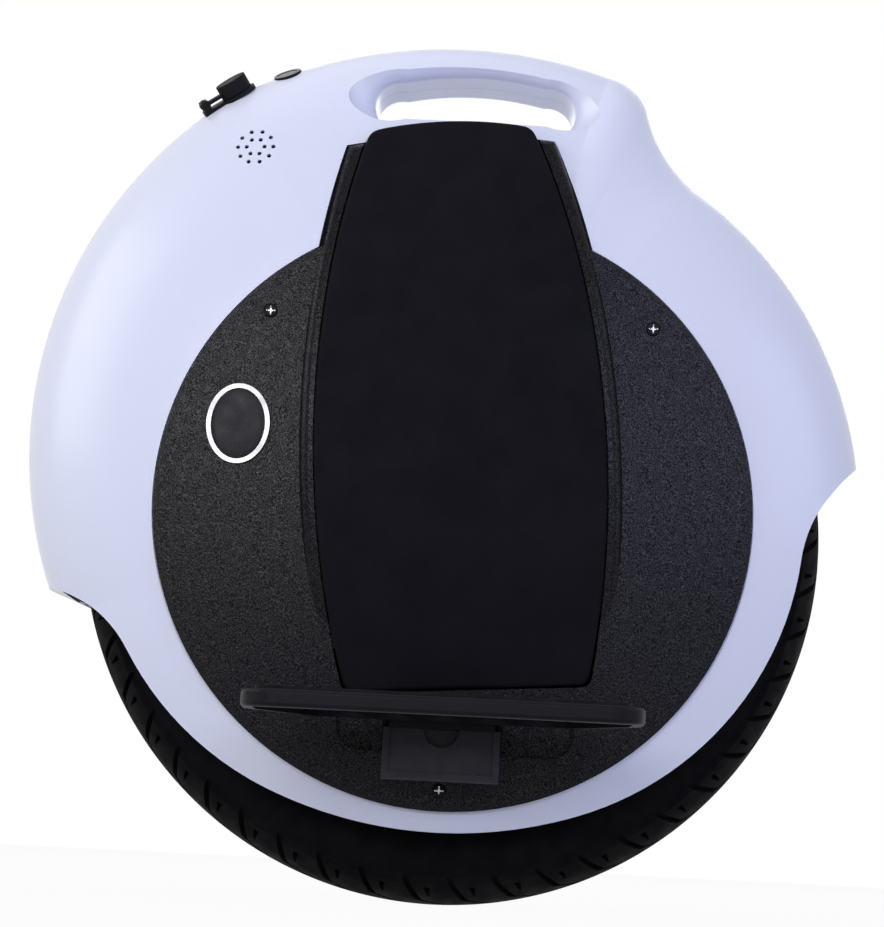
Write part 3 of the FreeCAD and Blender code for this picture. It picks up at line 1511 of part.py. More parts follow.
def make_charge_port():
    port = new_body("charge_port")
    lathed(port, [
        ("0", "-{port_length}"),
        ("{port_body}", "-{port_length}"),
        ("{port_body}", "-{seat_sink}"),
        ("{flange_radius}", "-{seat_sink}"),
        ("{flange_radius}", "{flange_tall}"),
        ("{collar_radius}", "{flange_tall}"),
        ("{collar_radius}", "{collar_tall}"),
        ("{port_bore}", "{collar_tall}"),
        ("{port_bore}", "-{port_length} / 2"),
        ("0", "-{port_length} / 2"),
    ])
    post_far = "({strap_half} + {fit_gap} + {post_thick})"
    tongue = start_sketch(port, "tongue", "XY_Plane", "-{seat_sink}")
    rectangle(tongue, "{collar_radius} + 1", "{strap_reach} + {eye_radius}", f"-{post_far}", post_far)
    pad(port, tongue, "{seat_sink} + {flange_tall}")
    post_near = "({strap_half} + {fit_gap})"
    for near, far in ((post_near, post_far), (f"-{post_far}", f"-{post_near}")):
        post = start_sketch(port, "post", "XY_Plane", "{flange_tall} - 0.5")
        rectangle(post, "{strap_reach} - 2 * {eye_bar}", "{strap_reach} + 2 * {eye_bar}", near, far)
        pad(port, post, "{eye_rise} + 2 * {eye_bar} - {flange_tall} + 0.5")
    bar = circle(start_sketch(port, "bar", "XZ_Plane"), "{strap_reach}", "{eye_rise}", "{eye_bar}")
    pad(port, bar, f"2 * {post_far}", symmetric=True)
    on_rim(port, "port_angle", "port_depth")

    pins = new_body("charge_pins")
    places = start_sketch(pins, "pins", "XY_Plane", "-{port_length} / 2")
    reach = "({port_bore} / 2)"
    spots = ((reach, "0"), (f"-{reach} / 2", f"{reach} * 0.86"), (f"-{reach} / 2", f"-{reach} * 0.86"))
    for across, up in spots:
        circle(places, across, up, "{charge_pin}")
    pad(pins, places, "{port_length} / 2 + {flange_tall}")
    on_rim(pins, "port_angle", "port_depth")


def make_charge_cap():
    cap = new_body("charge_cap")
    inner = "({collar_radius} + {cap_gap})"
    outer = f"({inner} + {{cap_wall}})"
    base = "({flange_tall} + {fit_gap})"
    lid = "({collar_tall} + {fit_gap})"
    lathed(cap, [
        (inner, base),
        (outer, base),
        (outer, f"{base} + {{cap_tall}}"),
        ("0", f"{base} + {{cap_tall}}"),
        ("0", lid),
        (inner, lid),
    ])
    strap = start_sketch(cap, "strap", "XY_Plane", "{eye_rise} - {strap_thick} / 2")
    start, end = f"{outer} - {{cap_wall}} / 2", "{strap_reach} - {eye_bar} - 0.6"
    rectangle(strap, start, end, "-{strap_half}", "{strap_half}")
    pad(cap, strap, "{strap_thick}")
    eye = start_sketch(cap, "eye", "XZ_Plane")
    circle(eye, "{strap_reach}", "{eye_rise}", "{eye_radius}")
    circle(eye, "{strap_reach}", "{eye_rise}", "{eye_bar} + {eye_gap}")
    pad(cap, eye, "2 * {strap_half}", symmetric=True)
    on_rim(cap, "port_angle", "port_depth")


def make_button():
    bore = "({button_radius} + {button_gap})"
    rim = f"({bore} + {{bezel_width}})"
    bezel = new_body("button_bezel")
    lathed(bezel, [
        ("0", "-{button_body} - {seat_sink}"),
        (f"{rim} - 0.6", "-{button_body} - {seat_sink}"),
        (f"{rim} - 0.6", "-{seat_sink}"),
        (rim, "-{seat_sink}"),
        (rim, "{bezel_tall}"),
        (bore, "{bezel_tall}"),
        (bore, "-{button_stem} - {button_travel} - {fit_gap}"),
        ("0", "-{button_stem} - {button_travel} - {fit_gap}"),
    ])
    on_rim(bezel, "button_angle", "port_depth")
    key = new_body("power_button")
    lathed(key, [
        ("0", "-{button_stem}"),
        ("{button_radius}", "-{button_stem}"),
        ("{button_radius}", "{button_proud}"),
        ("0", "{button_proud}"),
    ])
    on_rim(key, "button_angle", "port_depth")


# Screws of the side covers and the blank badge

def cover_screws():
    made = []
    for place in cover_screw_places():
        seat = dome_depth(place) - size("screw_head") * 0.6
        head = drum(size("screw_head_radius"), seat, seat + size("screw_head"), place)
        shank = drum(size("screw_radius"), seat - size("screw_length"), seat, place)
        made.append(head.fuse(shank).removeSplitter())
    twins = [screw.mirror(Vector(0, 0, 0), Vector(0, 1, 0)) for screw in made]
    return Part.makeCompound(made + twins)


def badge():
    place = (size("badge_x"), size("badge_z"))
    near = dome_depth(place)
    slope_x = dome_depth((place[0] + 1, place[1])) - near
    slope_z = dome_depth((place[0], place[1] + 1)) - near
    out = Vector(-slope_x, -1, -slope_z).normalize()
    up = Vector(0, 0, 1)
    frame = Placement(at(place, near + size("badge_lift")), Rotation(up.cross(out), up, out, "ZXY"))
    oval = Part.Ellipse(Vector(0, 0, 0), size("badge_half_height"), size("badge_half_width")).toShape()
    plate = Part.Face(Part.Wire(oval)).extrude(Vector(0, 0, size("badge_thick")))
    plate = plate.makeFillet(size("badge_thick") / 3, plate.Faces[1].Edges)
    frame.Rotation = frame.Rotation.multiply(Rotation(Vector(0, 0, 1), 90))
    return plate.transformed(frame.toMatrix(), True)


def make_trim():
    from_shape(cover_screws(), "cover_screws")
    from_shape(badge(), "badge")


make_rim()
make_tube()
make_valve()
make_magnets()
make_motor_cover()
make_motor_bolts()
make_bearings()
make_stator()
make_axle()
make_casing()
make_mudguard()
make_hanger()
make_hanger_bolts()
make_pedal()
make_battery()
make_control()
make_speaker()
make_charge_port()
make_charge_cap()
make_button()
make_trim()
doc.recompute()

broken = [thing.Name for thing in doc.Objects if {"Invalid", "Error"} & set(thing.State)]
broken += [node.Label for node in nodes if node.Shape.isNull() or not node.Shape.isValid()]
if broken:
    raise RuntimeError("not built: " + ", ".join(broken))

os.makedirs("parts", exist_ok=True)
for node in nodes:
    node.Shape.exportStep(f"parts/{node.Label}.step")
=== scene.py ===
import math

import bmesh
import bpy
from mathutils import Matrix, Vector


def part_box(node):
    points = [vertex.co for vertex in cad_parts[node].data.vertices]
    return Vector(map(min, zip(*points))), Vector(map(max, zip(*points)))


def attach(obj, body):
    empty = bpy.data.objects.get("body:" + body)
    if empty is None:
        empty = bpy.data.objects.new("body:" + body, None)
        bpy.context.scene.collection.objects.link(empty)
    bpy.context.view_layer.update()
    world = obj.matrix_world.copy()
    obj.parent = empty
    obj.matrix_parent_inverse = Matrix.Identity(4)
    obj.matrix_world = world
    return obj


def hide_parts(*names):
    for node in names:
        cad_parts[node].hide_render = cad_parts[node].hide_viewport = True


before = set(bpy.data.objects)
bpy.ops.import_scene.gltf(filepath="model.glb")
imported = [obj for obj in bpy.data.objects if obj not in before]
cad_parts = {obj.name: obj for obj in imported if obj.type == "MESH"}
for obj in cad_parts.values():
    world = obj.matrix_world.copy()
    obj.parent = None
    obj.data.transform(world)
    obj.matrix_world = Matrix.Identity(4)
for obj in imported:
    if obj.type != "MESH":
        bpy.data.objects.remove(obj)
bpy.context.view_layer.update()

MM = 0.001
AXLE_HEIGHT = 0.180

# Camera: to the right of the wheel, low down, tilted up and rolled with the photograph (metres, degrees)
IMAGE_WIDTH, IMAGE_HEIGHT = 884, 927
CAMERA_PLACE = (0, -1.350, 0.025)
CAMERA_PITCH, CAMERA_YAW, CAMERA_ROLL = 8.0, -0.27, 2.85
FOCAL_PIXELS = 2765.9
SENSOR = 36

# Stage: metres and watts; colours are linear
WORLD_COLOUR, WORLD_STRENGTH = (0.80, 0.82, 0.90, 1), 0.30
FLOOR_HALF, FLOOR_COLOUR, FLOOR_WHITE = 4, (0.55, 0.55, 0.57, 1), 0.95
PLAIN_LIGHT = (1, 1, 1)
LAMPS = {
    # name: place, width, power, colour
    "key": ((-0.60, -2.30, 0.80), 0.8, 14, PLAIN_LIGHT),
    "fill": ((0.62, -2.25, 0.76), 0.8, 11, (0.58, 0.62, 1)),
    "left": ((-2.0, -0.6, 1.1), 1.4, 17, PLAIN_LIGHT),
    "right": ((1.9, -1.0, 0.9), 1.2, 8, (0.66, 0.72, 1)),
    "top": ((-0.2, 0.1, 2.3), 1.5, 6, (0.84, 0.88, 1)),
    "back": ((0.2, 1.9, 1.3), 1.4, 10, PLAIN_LIGHT),
}

# Half the width of the line between the shell's halves, metres
PARTING_HALF = 0.0004

# Leg pad in its leaning frame: across and up from the pad's origin, millimetres (the lean in degrees)
PAD_LEAN = 4.25
PAD_SHIFT, PAD_RISE = 2.9, 21
PAD_TOP, PAD_BOTTOM = 170, 101
PAD_HALF, PAD_TOP_HALF, PAD_BOTTOM_HALF = 68.5, 39.4, 57
PAD_ARCH, PAD_CORNER = 4, 5
PAD_ROLL, PAD_SWELL, PAD_WAIST, PAD_GROOVE = 1.8, 0.5, 0.4, 0.5
PAD_THICK, PAD_BACK_EDGE = 5.5, 0.3
PAD_BALL, PAD_PEAK, PAD_DEPTH = 522.5, 10, 80.5
# Its rings as shares of the outline, and the steps of its curves
PAD_BACK_RINGS = (0.03, 0.35, 0.7, 1)
PAD_FACE_RINGS = (0.97, 0.93, 0.86, 0.76, 0.64, 0.5, 0.36, 0.22, 0.1, 0.03)
PAD_SIDE_STEPS, PAD_BASE_STEPS, PAD_ARCH_STEPS = 56, 24, 20
PAD_CORNER_STEPS, PAD_ROLL_STEPS = 4, 6
PAD_SWELL_POWER = 6

# Cross-head screws of the side covers, millimetres
HEAD_RADIUS, HEAD_HEIGHT, SHANK_RADIUS, SHANK_LENGTH = 3.2, 1.8, 1.6, 11
CROSS_REACH, CROSS_HALF, CROSS_DEEP = 2.1, 0.42, 0.9
SCREW_STEPS, SCREW_SHARP = 48, 35
# Rings of the recess: share of the cross's reach, depth
CROSS_RINGS = ((1, 0), (0.9, 0.15), (0.55, CROSS_DEEP))

# Field of the badge, millimetres, and its rings: share of the field, share of the dome's height
BADGE_RIM, BADGE_DOME = 2.2, 0.7
BADGE_RINGS = ((0.96, -0.3), (1, -0.1), (1, 0.1), (0.97, 0.25), (0.8, 0.5), (0.5, 0.62), (0.2, 0.68))
BADGE_STEPS = 64

# Webs of the shell beside the tyre at its rear tip: across, depth and height of their corners, millimetres
WEB_CORNERS = ((-186.4, 34.3, 148.5), (-182.5, 34.3, 138.95), (-184.9, 31.5, 139.8))
WEB_THICK = 2


class Graph:
    """Node graph of one material, laid out in object coordinates (metres)."""

    def __init__(self, name, colour, **sockets):
        self.material = bpy.data.materials.new(name)
        self.material.use_nodes = True
        self.tree = self.material.node_tree
        self.surface = self.tree.nodes["Principled BSDF"]
        self.place = self.add("ShaderNodeTexCoord").outputs["Object"]
        self.colour = None
        self.normal = None
        self.surface.inputs["Base Color"].default_value = (*colour, 1)
        for socket, value in sockets.items():
            self.surface.inputs[socket.replace("_", " ")].default_value = value

    def add(self, kind, **settings):
        node = self.tree.nodes.new(kind)
        for key, value in settings.items():
            setattr(node, key, value)
        return node

    def link(self, source, target):
        self.tree.links.new(source, target)

    def stretched(self, factors):
        mapping = self.add("ShaderNodeMapping")
        mapping.inputs["Scale"].default_value = factors
        self.link(self.place, mapping.inputs["Vector"])
        return mapping.outputs["Vector"]

    def noise(self, scale, detail=3, place=None, distortion=0):
        node = self.add("ShaderNodeTexNoise")
        node.inputs["Scale"].default_value = scale
        node.inputs["Detail"].default_value = detail
        node.inputs["Distortion"].default_value = distortion
        self.link(place or self.place, node.inputs["Vector"])
        return node.outputs["Fac"]

    def cells(self, scale, feature="F1", place=None):
        node = self.add("ShaderNodeTexVoronoi", feature=feature)
        node.inputs["Scale"].default_value = scale
        self.link(place or self.place, node.inputs["Vector"])
        return node.outputs["Distance"]

    def bands(self, scale, direction="Z", kind="BANDS", distortion=0):
        node = self.add("ShaderNodeTexWave", wave_type=kind)
        if kind == "BANDS":
            node.bands_direction = direction
        else:
            node.rings_direction = direction
        node.inputs["Scale"].default_value = scale
        node.inputs["Distortion"].default_value = distortion
        self.link(self.place, node.inputs["Vector"])
        return node.outputs["Fac"]

    def spread(self, value, low, high, start=0.3, end=0.7):
        """Map a texture value to the range low..high."""
        node = self.add("ShaderNodeMapRange")
        for socket, number in (("From Min", start), ("From Max", end), ("To Min", low), ("To Max", high)):
            node.inputs[socket].default_value = number
        self.link(value, node.inputs["Value"])
        return node.outputs["Result"]

    def tint(self, factor, colour):
        """Blend the base colour towards another one by a texture."""
        node = self.add("ShaderNodeMix", data_type="RGBA")
        if self.colour:
            self.link(self.colour, node.inputs[6])
        else:
            node.inputs[6].default_value = self.surface.inputs["Base Color"].default_value
        node.inputs[7].default_value = (*colour, 1)
        self.link(factor, node.inputs[0])
        self.colour = node.outputs[2]
        self.link(self.colour, self.surface.inputs["Base Color"])
        return self

    def polish(self, value, low, high):
        """Vary the roughness with a texture."""
        self.link(self.spread(value, low, high), self.surface.inputs["Roughness"])
        return self

    def shine(self, value, low, high, start=0.3, end=0.7):
        """Vary the strength of the reflection with a texture."""
        level = self.spread(value, low, high, start, end)
        self.link(level, self.surface.inputs["Specular IOR Level"])
        return self

    def relief(self, height, distance, strength=1):
        """Bump of a real depth in metres, laid over the earlier ones."""
        node = self.add("ShaderNodeBump")
        node.inputs["Strength"].default_value = strength
        node.inputs["Distance"].default_value = distance
        self.link(height, node.inputs["Height"])
        if self.normal:
            self.link(self.normal, node.inputs["Normal"])
        self.normal = node.outputs["Normal"]
        self.link(self.normal, self.surface.inputs["Normal"])
        return self

    def from_middle(self, axis):
        """Distance from a middle plane of the object."""
        split = self.add("ShaderNodeSeparateXYZ")
        self.link(self.place, split.inputs["Vector"])
        size = self.add("ShaderNodeMath", operation="ABSOLUTE")
        self.link(split.outputs[axis], size.inputs[0])
        return size.outputs["Value"]


# Materials

def shell_white():
    """Glossy white casing plastic: faint orange peel, fine grain and the parting line of its halves."""
    g = Graph("shell_white", (0.78, 0.80, 0.92), Roughness=0.3, Specular_IOR_Level=0.4,
              Coat_Weight=0.15, Coat_Roughness=0.15)
    g.tint(g.spread(g.noise(6, 1), 0, 0.2, 0.1, 0.9), (0.74, 0.77, 0.91))
    from_parting = g.from_middle("Y")
    g.tint(g.spread(from_parting, 0.6, 0, 0, PARTING_HALF), (0.30, 0.30, 0.36))
    g.polish(g.noise(40, 3), 0.28, 0.33)
    g.relief(g.noise(160, 2), 0.00008, 0.15)
    g.relief(g.noise(1600, 2), 0.00005, 0.5)
    g.relief(g.spread(from_parting, 0, 1, 0, PARTING_HALF), 0.0003, 0.8)
    return g.material


def cover_grain():
    """Dark side cover moulded with a fine leather grain that glints; its glint speckles are also painted
    paler into its colour as painted highlights.
    """
    g = Graph("cover_grain", (0.005, 0.005, 0.007), Roughness=0.28, Specular_IOR_Level=0.12)
    pores = g.cells(900, "SMOOTH_F1", g.stretched((1, 1, 0.85)))
    glints = g.noise(1700, 2)
    g.tint(g.spread(g.noise(14, 3), 0, 0.5), (0.0038, 0.0038, 0.0055))
    # Painted highlight: the base colour is made paler at the glint speckles.
    g.tint(g.spread(glints, 0, 0.5, 0.5, 0.7), (0.016, 0.016, 0.020))
    g.shine(glints, 0.02, 0.24, 0.38, 0.68)
    g.polish(g.noise(300, 3), 0.24, 0.36)
    g.relief(pores, 0.0002, 0.35)
    g.relief(glints, 0.00008, 0.5)
    return g.material


def pad_foam():
    """Matt black skinned foam of the leg pads."""
    g = Graph("pad_foam", (0.0075, 0.0072, 0.0100), Roughness=0.75, Specular_IOR_Level=0.05)
    g.tint(g.spread(g.noise(22, 4), 0, 0.7), (0.0055, 0.0054, 0.0076))
    g.tint(g.spread(g.cells(75), 0.3, 0, 0.0, 0.03), (0.02, 0.02, 0.024))
    g.polish(g.noise(60, 3), 0.66, 0.84)
    g.relief(g.noise(1500, 3), 0.00008, 0.6)
    return g.material


def tyre_rubber():
    """Black tread rubber with a dusty bloom and fine mould rings on the walls."""
    g = Graph("tyre_rubber", (0.0028, 0.0028, 0.0036), Roughness=0.65, Specular_IOR_Level=0.045)
    g.tint(g.spread(g.noise(35, 5), 0, 0.8), (0.0050, 0.0050, 0.0058))
    g.polish(g.noise(120, 3), 0.6, 0.85)
    g.relief(g.bands(260, "Y", "RINGS"), 0.00008, 0.35)
    g.relief(g.noise(900, 4), 0.0001, 0.5)
    return g.material


def soft_rubber(name, colour, grain):
    """Soft rubber with paler patches and a grain of its own."""
    g = Graph(name, colour, Roughness=0.6, Specular_IOR_Level=0.12)
    g.tint(g.spread(g.noise(50, 3), 0, 0.6), tuple(1.5 * part for part in colour))
    g.polish(g.noise(90, 3), 0.55, 0.8)
    g.relief(g.noise(grain, 3), 0.00012, 0.6)
    return g.material


def coated(name, colour, low, high, specular):
    """Powder-coated metal: orange peel, mottled gloss and a few paler rubbed spots."""
    g = Graph(name, colour, Roughness=low, Specular_IOR_Level=specular)
    g.tint(g.spread(g.noise(28, 5), 0, 0.5, 0.45, 0.75), tuple(1.8 * part for part in colour))
    g.polish(g.noise(140, 4), low, high)
    g.relief(g.noise(1100, 2), 0.00009, 0.5)
    return g.material


def moulded(name, colour, low=0.45, high=0.62):
    """Plain moulded plastic with a spark-eroded texture."""
    g = Graph(name, colour, Roughness=low, Specular_IOR_Level=0.12)
    g.tint(g.spread(g.noise(30, 3), 0, 0.5), tuple(1.3 * part for part in colour))
    g.polish(g.noise(80, 3), low, high)
    g.relief(g.noise(2200, 2), 0.00006, 0.5)
    return g.material


def brushed(name, colour, low, high):
    """Bare metal with drawn-out tool marks."""
    g = Graph(name, colour, Metallic=1, Roughness=low)
    marks = g.noise(60, 4, g.stretched((1, 14, 14)))
    g.tint(g.spread(g.noise(45, 4), 0, 0.5), tuple(0.75 * part for part in colour))
    g.polish(marks, low, high)
    g.relief(marks, 0.00004, 0.4)
    return g.material


def plated(name, colour, low=0.08, high=0.2):
    """Bright plating, slightly uneven."""
    g = Graph(name, colour, Metallic=1, Roughness=low)
    g.polish(g.noise(150, 3), low, high)
    g.tint(g.spread(g.noise(60, 3), 0, 0.4), tuple(0.85 * part for part in colour))
    g.relief(g.noise(220, 2), 0.00004, 0.3)
    return g.material


def laminated():
    """Stacked iron sheets."""
    g = Graph("laminated", (0.20, 0.20, 0.22), Metallic=1, Roughness=0.45)
    sheets = g.bands(320, "Y")
    g.tint(g.spread(sheets, 0, 0.6), (0.10, 0.10, 0.11))
    g.polish(g.noise(90, 3), 0.38, 0.6)
    g.relief(sheets, 0.0001, 0.6)
    return g.material


def wound_copper():
    """Enamelled wire, turn by turn."""
    g = Graph("wound_copper", (0.58, 0.26, 0.11), Metallic=1, Roughness=0.3)
    turns = g.bands(300, "X", distortion=1.5)
    g.tint(g.spread(turns, 0, 0.7), (0.30, 0.11, 0.045))
    g.polish(turns, 0.25, 0.45)
    g.relief(turns, 0.0004, 0.7)
    return g.material


def circuit():
    """Solder-masked board with faint tracks."""
    g = Graph("circuit", (0.015, 0.11, 0.045), Roughness=0.35, Specular_IOR_Level=0.5)
    tracks = g.cells(220, "DISTANCE_TO_EDGE")
    g.tint(g.spread(tracks, 0.7, 0, 0.05, 0.2), (0.03, 0.20, 0.08))
    g.polish(g.noise(200, 2), 0.28, 0.45)
    g.relief(tracks, 0.00005, 0.5)
    return g.material


def wrapped():
    """Shrink film drawn tight over the cells."""
    g = Graph("wrapped", (0.025, 0.08, 0.28), Roughness=0.25, Specular_IOR_Level=0.5, Coat_Weight=0.3)
    cells = g.bands(26, "Z")
    g.tint(g.spread(cells, 0, 0.4), (0.015, 0.05, 0.19))
    g.polish(g.noise(70, 4), 0.2, 0.4)
    g.relief(cells, 0.0015, 0.5)
    g.relief(g.noise(130, 4, distortion=2), 0.0003, 0.4)
    return g.material


def enamel():
    """Dark metallic field of the badge."""
    g = Graph("enamel", (0.008, 0.008, 0.011), Roughness=0.3, Specular_IOR_Level=0.11)
    g.tint(g.spread(g.noise(2300, 2), 0, 0.5, 0.52, 0.72), (0.05, 0.05, 0.06))
    g.polish(g.noise(120, 2), 0.26, 0.4)
    g.relief(g.noise(900, 2), 0.00003, 0.4)
    return g.material


def dress(material, *names):
    for name in names:
        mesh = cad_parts[name].data
        mesh.materials.clear()
        mesh.materials.append(material)


def both(name):
    return name + "_right", name + "_left"


# Pieces

def piece(name, points, faces, material, body, slot):
    """Smooth closed mesh that rides on a body."""
    mesh = bpy.data.meshes.new(name)
    mesh.from_pydata(points, [], faces)
    mesh.validate()
    mesh.polygons.foreach_set("use_smooth", [True] * len(mesh.polygons))
    bm = bmesh.new()
    bm.from_mesh(mesh)
    bmesh.ops.recalc_face_normals(bm, faces=bm.faces)
    bm.to_mesh(mesh)
    bm.free()
    mesh.materials.append(material)
    made = bpy.data.objects.new(name, mesh)
    bpy.context.scene.collection.objects.link(made)
    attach(made, body)
    return made


def stacked(rings):
    """Points and faces of a closed skin through equal rings, its ends drawn to a point each."""
    count = len(rings[0])
    points = [point for ring in rings for point in ring]
    faces = []
    for band in range(len(rings) - 1):
        low, high = band * count, (band + 1) * count
        for k in range(count):
            after = (k + 1) % count
            faces.append((low + k, low + after, high + after, high + k))
    for ring, start in ((rings[0], 0), (rings[-1], (len(rings) - 1) * count)):
        points.append(sum(ring, Vector()) / count)
        faces += [(start + k, start + (k + 1) % count, len(points) - 1) for k in range(count)]
    return points, faces


def arc_through(first, middle, last, steps):
    """Points along the circle through three places, without its last one."""
    a, b, c = (Vector(place) for place in (first, middle, last))
    d = 2 * ((b - a).x * (c - a).y - (b - a).y * (c - a).x)
    ab, ac = (b - a).length_squared, (c - a).length_squared
    centre = a + Vector(((c - a).y * ab - (b - a).y * ac, (b - a).x * ac - (c - a).x * ab)) / d
    start = math.atan2(*(a - centre).yx)
    sweep = math.remainder(math.atan2(*(b - centre).yx) - start, 2 * math.pi)
    sweep += math.remainder(math.atan2(*(c - centre).yx) - math.atan2(*(b - centre).yx), 2 * math.pi)
    radius = (a - centre).length
    turns = [start + sweep * k / steps for k in range(steps)]
    return [centre + radius * Vector((math.cos(turn), math.sin(turn))) for turn in turns]


def rounded(sides, corner):
    """Closed outline from its sides, each corner turned with a short curve."""
    outline = []
    for side, following in zip(sides, sides[1:] + sides[:1]):
        tip = following[0]
        inner = [place for place in side if min((place - side[0]).length, (place - tip).length) >= corner]
        leave = tip + (inner[-1] - tip).normalized() * corner
        ahead = next(place for place in following if (place - tip).length >= corner)
        arrive = tip + (ahead - tip).normalized() * corner
        outline += inner
        for k in range(PAD_CORNER_STEPS + 1):
            t = k / PAD_CORNER_STEPS
            outline.append(leave * (1 - t) ** 2 + tip * 2 * t * (1 - t) + arrive * t ** 2)
    return outline


def pad_outline():
    top_left, top_right = (-PAD_TOP_HALF, PAD_TOP), (PAD_TOP_HALF, PAD_TOP)
    low_left, low_right = (-PAD_BOTTOM_HALF, -PAD_BOTTOM), (PAD_BOTTOM_HALF, -PAD_BOTTOM)
    base = [Vector(low_right).lerp(Vector(low_left), k / PAD_BASE_STEPS) for k in range(PAD_BASE_STEPS)]
    return rounded([
        arc_through(top_right, (PAD_HALF, 0), low_right, PAD_SIDE_STEPS),
        base,
        arc_through(low_left, (-PAD_HALF, 0), top_left, PAD_SIDE_STEPS),
        arc_through(top_left, (0, PAD_TOP + PAD_ARCH), top_right, PAD_ARCH_STEPS),
    ], PAD_CORNER)


def drawn_inside(outline, distance):
    """Outline moved inwards all round (it runs clockwise)."""
    moved = []
    for before, here, after in zip(outline[-1:] + outline[:-1], outline, outline[1:] + outline[:1]):
        along = (after - before).normalized()
        moved.append(here + distance * Vector((along.y, -along.x)))
    return moved


def pad_point(place, sunk, side):
    """World place of a pad point, sunk below the pad's ball; side is -1 to the right, 1 to the left."""
    across, up = place
    depth = PAD_DEPTH - PAD_BALL - sunk + math.sqrt(PAD_BALL ** 2 - across ** 2 - (up - PAD_PEAK) ** 2)
    lean = math.radians(PAD_LEAN)
    x = PAD_SHIFT + math.cos(lean) * across - math.sin(lean) * up
    z = PAD_RISE + math.sin(lean) * across + math.cos(lean) * up
    return Vector((x * MM, side * depth * MM, z * MM + AXLE_HEIGHT))


def leg_pad(name, side, material):
    """Crowned pad with a rolled edge, a drawn-in side and a back that follows its seat."""
    outline = pad_outline()
    middle = Vector((0, (PAD_TOP - PAD_BOTTOM) / 2))

    def ring(inset, sunk, shrink=1):
        moved = drawn_inside(outline, PAD_GROOVE + inset)
        return [pad_point(middle + (place - middle) * shrink, sunk, side) for place in moved]

    rings = [ring(PAD_ROLL, PAD_THICK, shrink) for shrink in PAD_BACK_RINGS]
    rings += [ring(PAD_BACK_EDGE, PAD_THICK), ring(0, PAD_THICK - PAD_BACK_EDGE)]
    rings.append(ring(PAD_WAIST, (PAD_THICK + PAD_ROLL) / 2))
    for k in range(PAD_ROLL_STEPS + 1):
        turn = math.radians(90 * k / PAD_ROLL_STEPS)
        rings.append(ring(PAD_ROLL * (1 - math.cos(turn)), PAD_ROLL * (1 - math.sin(turn))))
    for shrink in PAD_FACE_RINGS:
        rings.append(ring(PAD_ROLL, -PAD_SWELL * (1 - shrink ** PAD_SWELL_POWER), shrink))
    made = piece(name, *stacked(rings), material, "chassis", "pad_black")
    made.modifiers.new("smooth", "SUBSURF").levels = 1
    made.modifiers["smooth"].render_levels = 1
    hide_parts(name.replace("skin_", "leg_pad_"))


def islands(name):
    """Boxes (low, high) of the separate solids of a node."""
    bm = bmesh.new()
    bm.from_mesh(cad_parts[name].data)
    bmesh.ops.remove_doubles(bm, verts=bm.verts, dist=1e-6)
    left = set(bm.verts)
    boxes = []
    while left:
        group = [left.pop()]
        for vert in group:
            for edge in vert.link_edges:
                other = edge.other_vert(vert)
                if other in left:
                    left.remove(other)
                    group.append(other)
        low = Vector(min(vert.co[k] for vert in group) for k in range(3))
        high = Vector(max(vert.co[k] for vert in group) for k in range(3))
        boxes.append((low, high))
    bm.free()
    return boxes


def cross_head(low, high):
    """Rings of one screw, from the shank's tip over the head down into its cross recess."""
    side = -1 if low.y < 0 else 1
    face = low.y if side < 0 else high.y
    centre = (low + high) / 2
    turns = [2 * math.pi * k / SCREW_STEPS for k in range(SCREW_STEPS)]
    spokes = [(math.cos(turn), math.sin(turn)) for turn in turns]

    def spot(reach, spoke, sunk):
        x, z = centre.x + reach * spoke[0] * MM, centre.z + reach * spoke[1] * MM
        return Vector((x, face - side * sunk * MM, z))

    def wing(spoke):
        """Reach of the cross in one direction."""
        long, short = max(map(abs, spoke)), min(map(abs, spoke))
        return min(CROSS_REACH / long, CROSS_HALF / max(short, 1e-3))

    profile = [
        (0.4, HEAD_HEIGHT + SHANK_LENGTH), (SHANK_RADIUS, HEAD_HEIGHT + SHANK_LENGTH - 1),
        (SHANK_RADIUS, HEAD_HEIGHT), (HEAD_RADIUS, HEAD_HEIGHT), (HEAD_RADIUS, 0.6),
        (HEAD_RADIUS * 0.93, 0.2), (HEAD_RADIUS * 0.8, 0.05),
    ]
    rings = [[spot(reach, spoke, sunk) for spoke in spokes] for reach, sunk in profile]
    for share, sunk in CROSS_RINGS:
        rings.append([spot(wing(spoke) * share, spoke, sunk) for spoke in spokes])
    return rings


def screws(material, bright):
    """Black screws whose cross recesses are worn bright."""
    points, faces, worn = [], [], []
    for low, high in islands("cover_screws"):
        rings = cross_head(low, high)
        more, skins = stacked(rings)
        first = (len(rings) - len(CROSS_RINGS)) * SCREW_STEPS
        end = first + (len(CROSS_RINGS) - 1) * SCREW_STEPS
        last_cap = len(skins) - SCREW_STEPS
        worn += [int(first <= k < end or k >= last_cap) for k in range(len(skins))]
        faces += [tuple(index + len(points) for index in skin) for skin in skins]
        points += more
    made = piece("cross_screws", points, faces, material, "chassis", "black_metal")
    made.data.materials.append(bright)
    made.data.polygons.foreach_set("material_index", worn)
    made.data.set_sharp_from_angle(angle=math.radians(SCREW_SHARP))
    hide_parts("cover_screws")


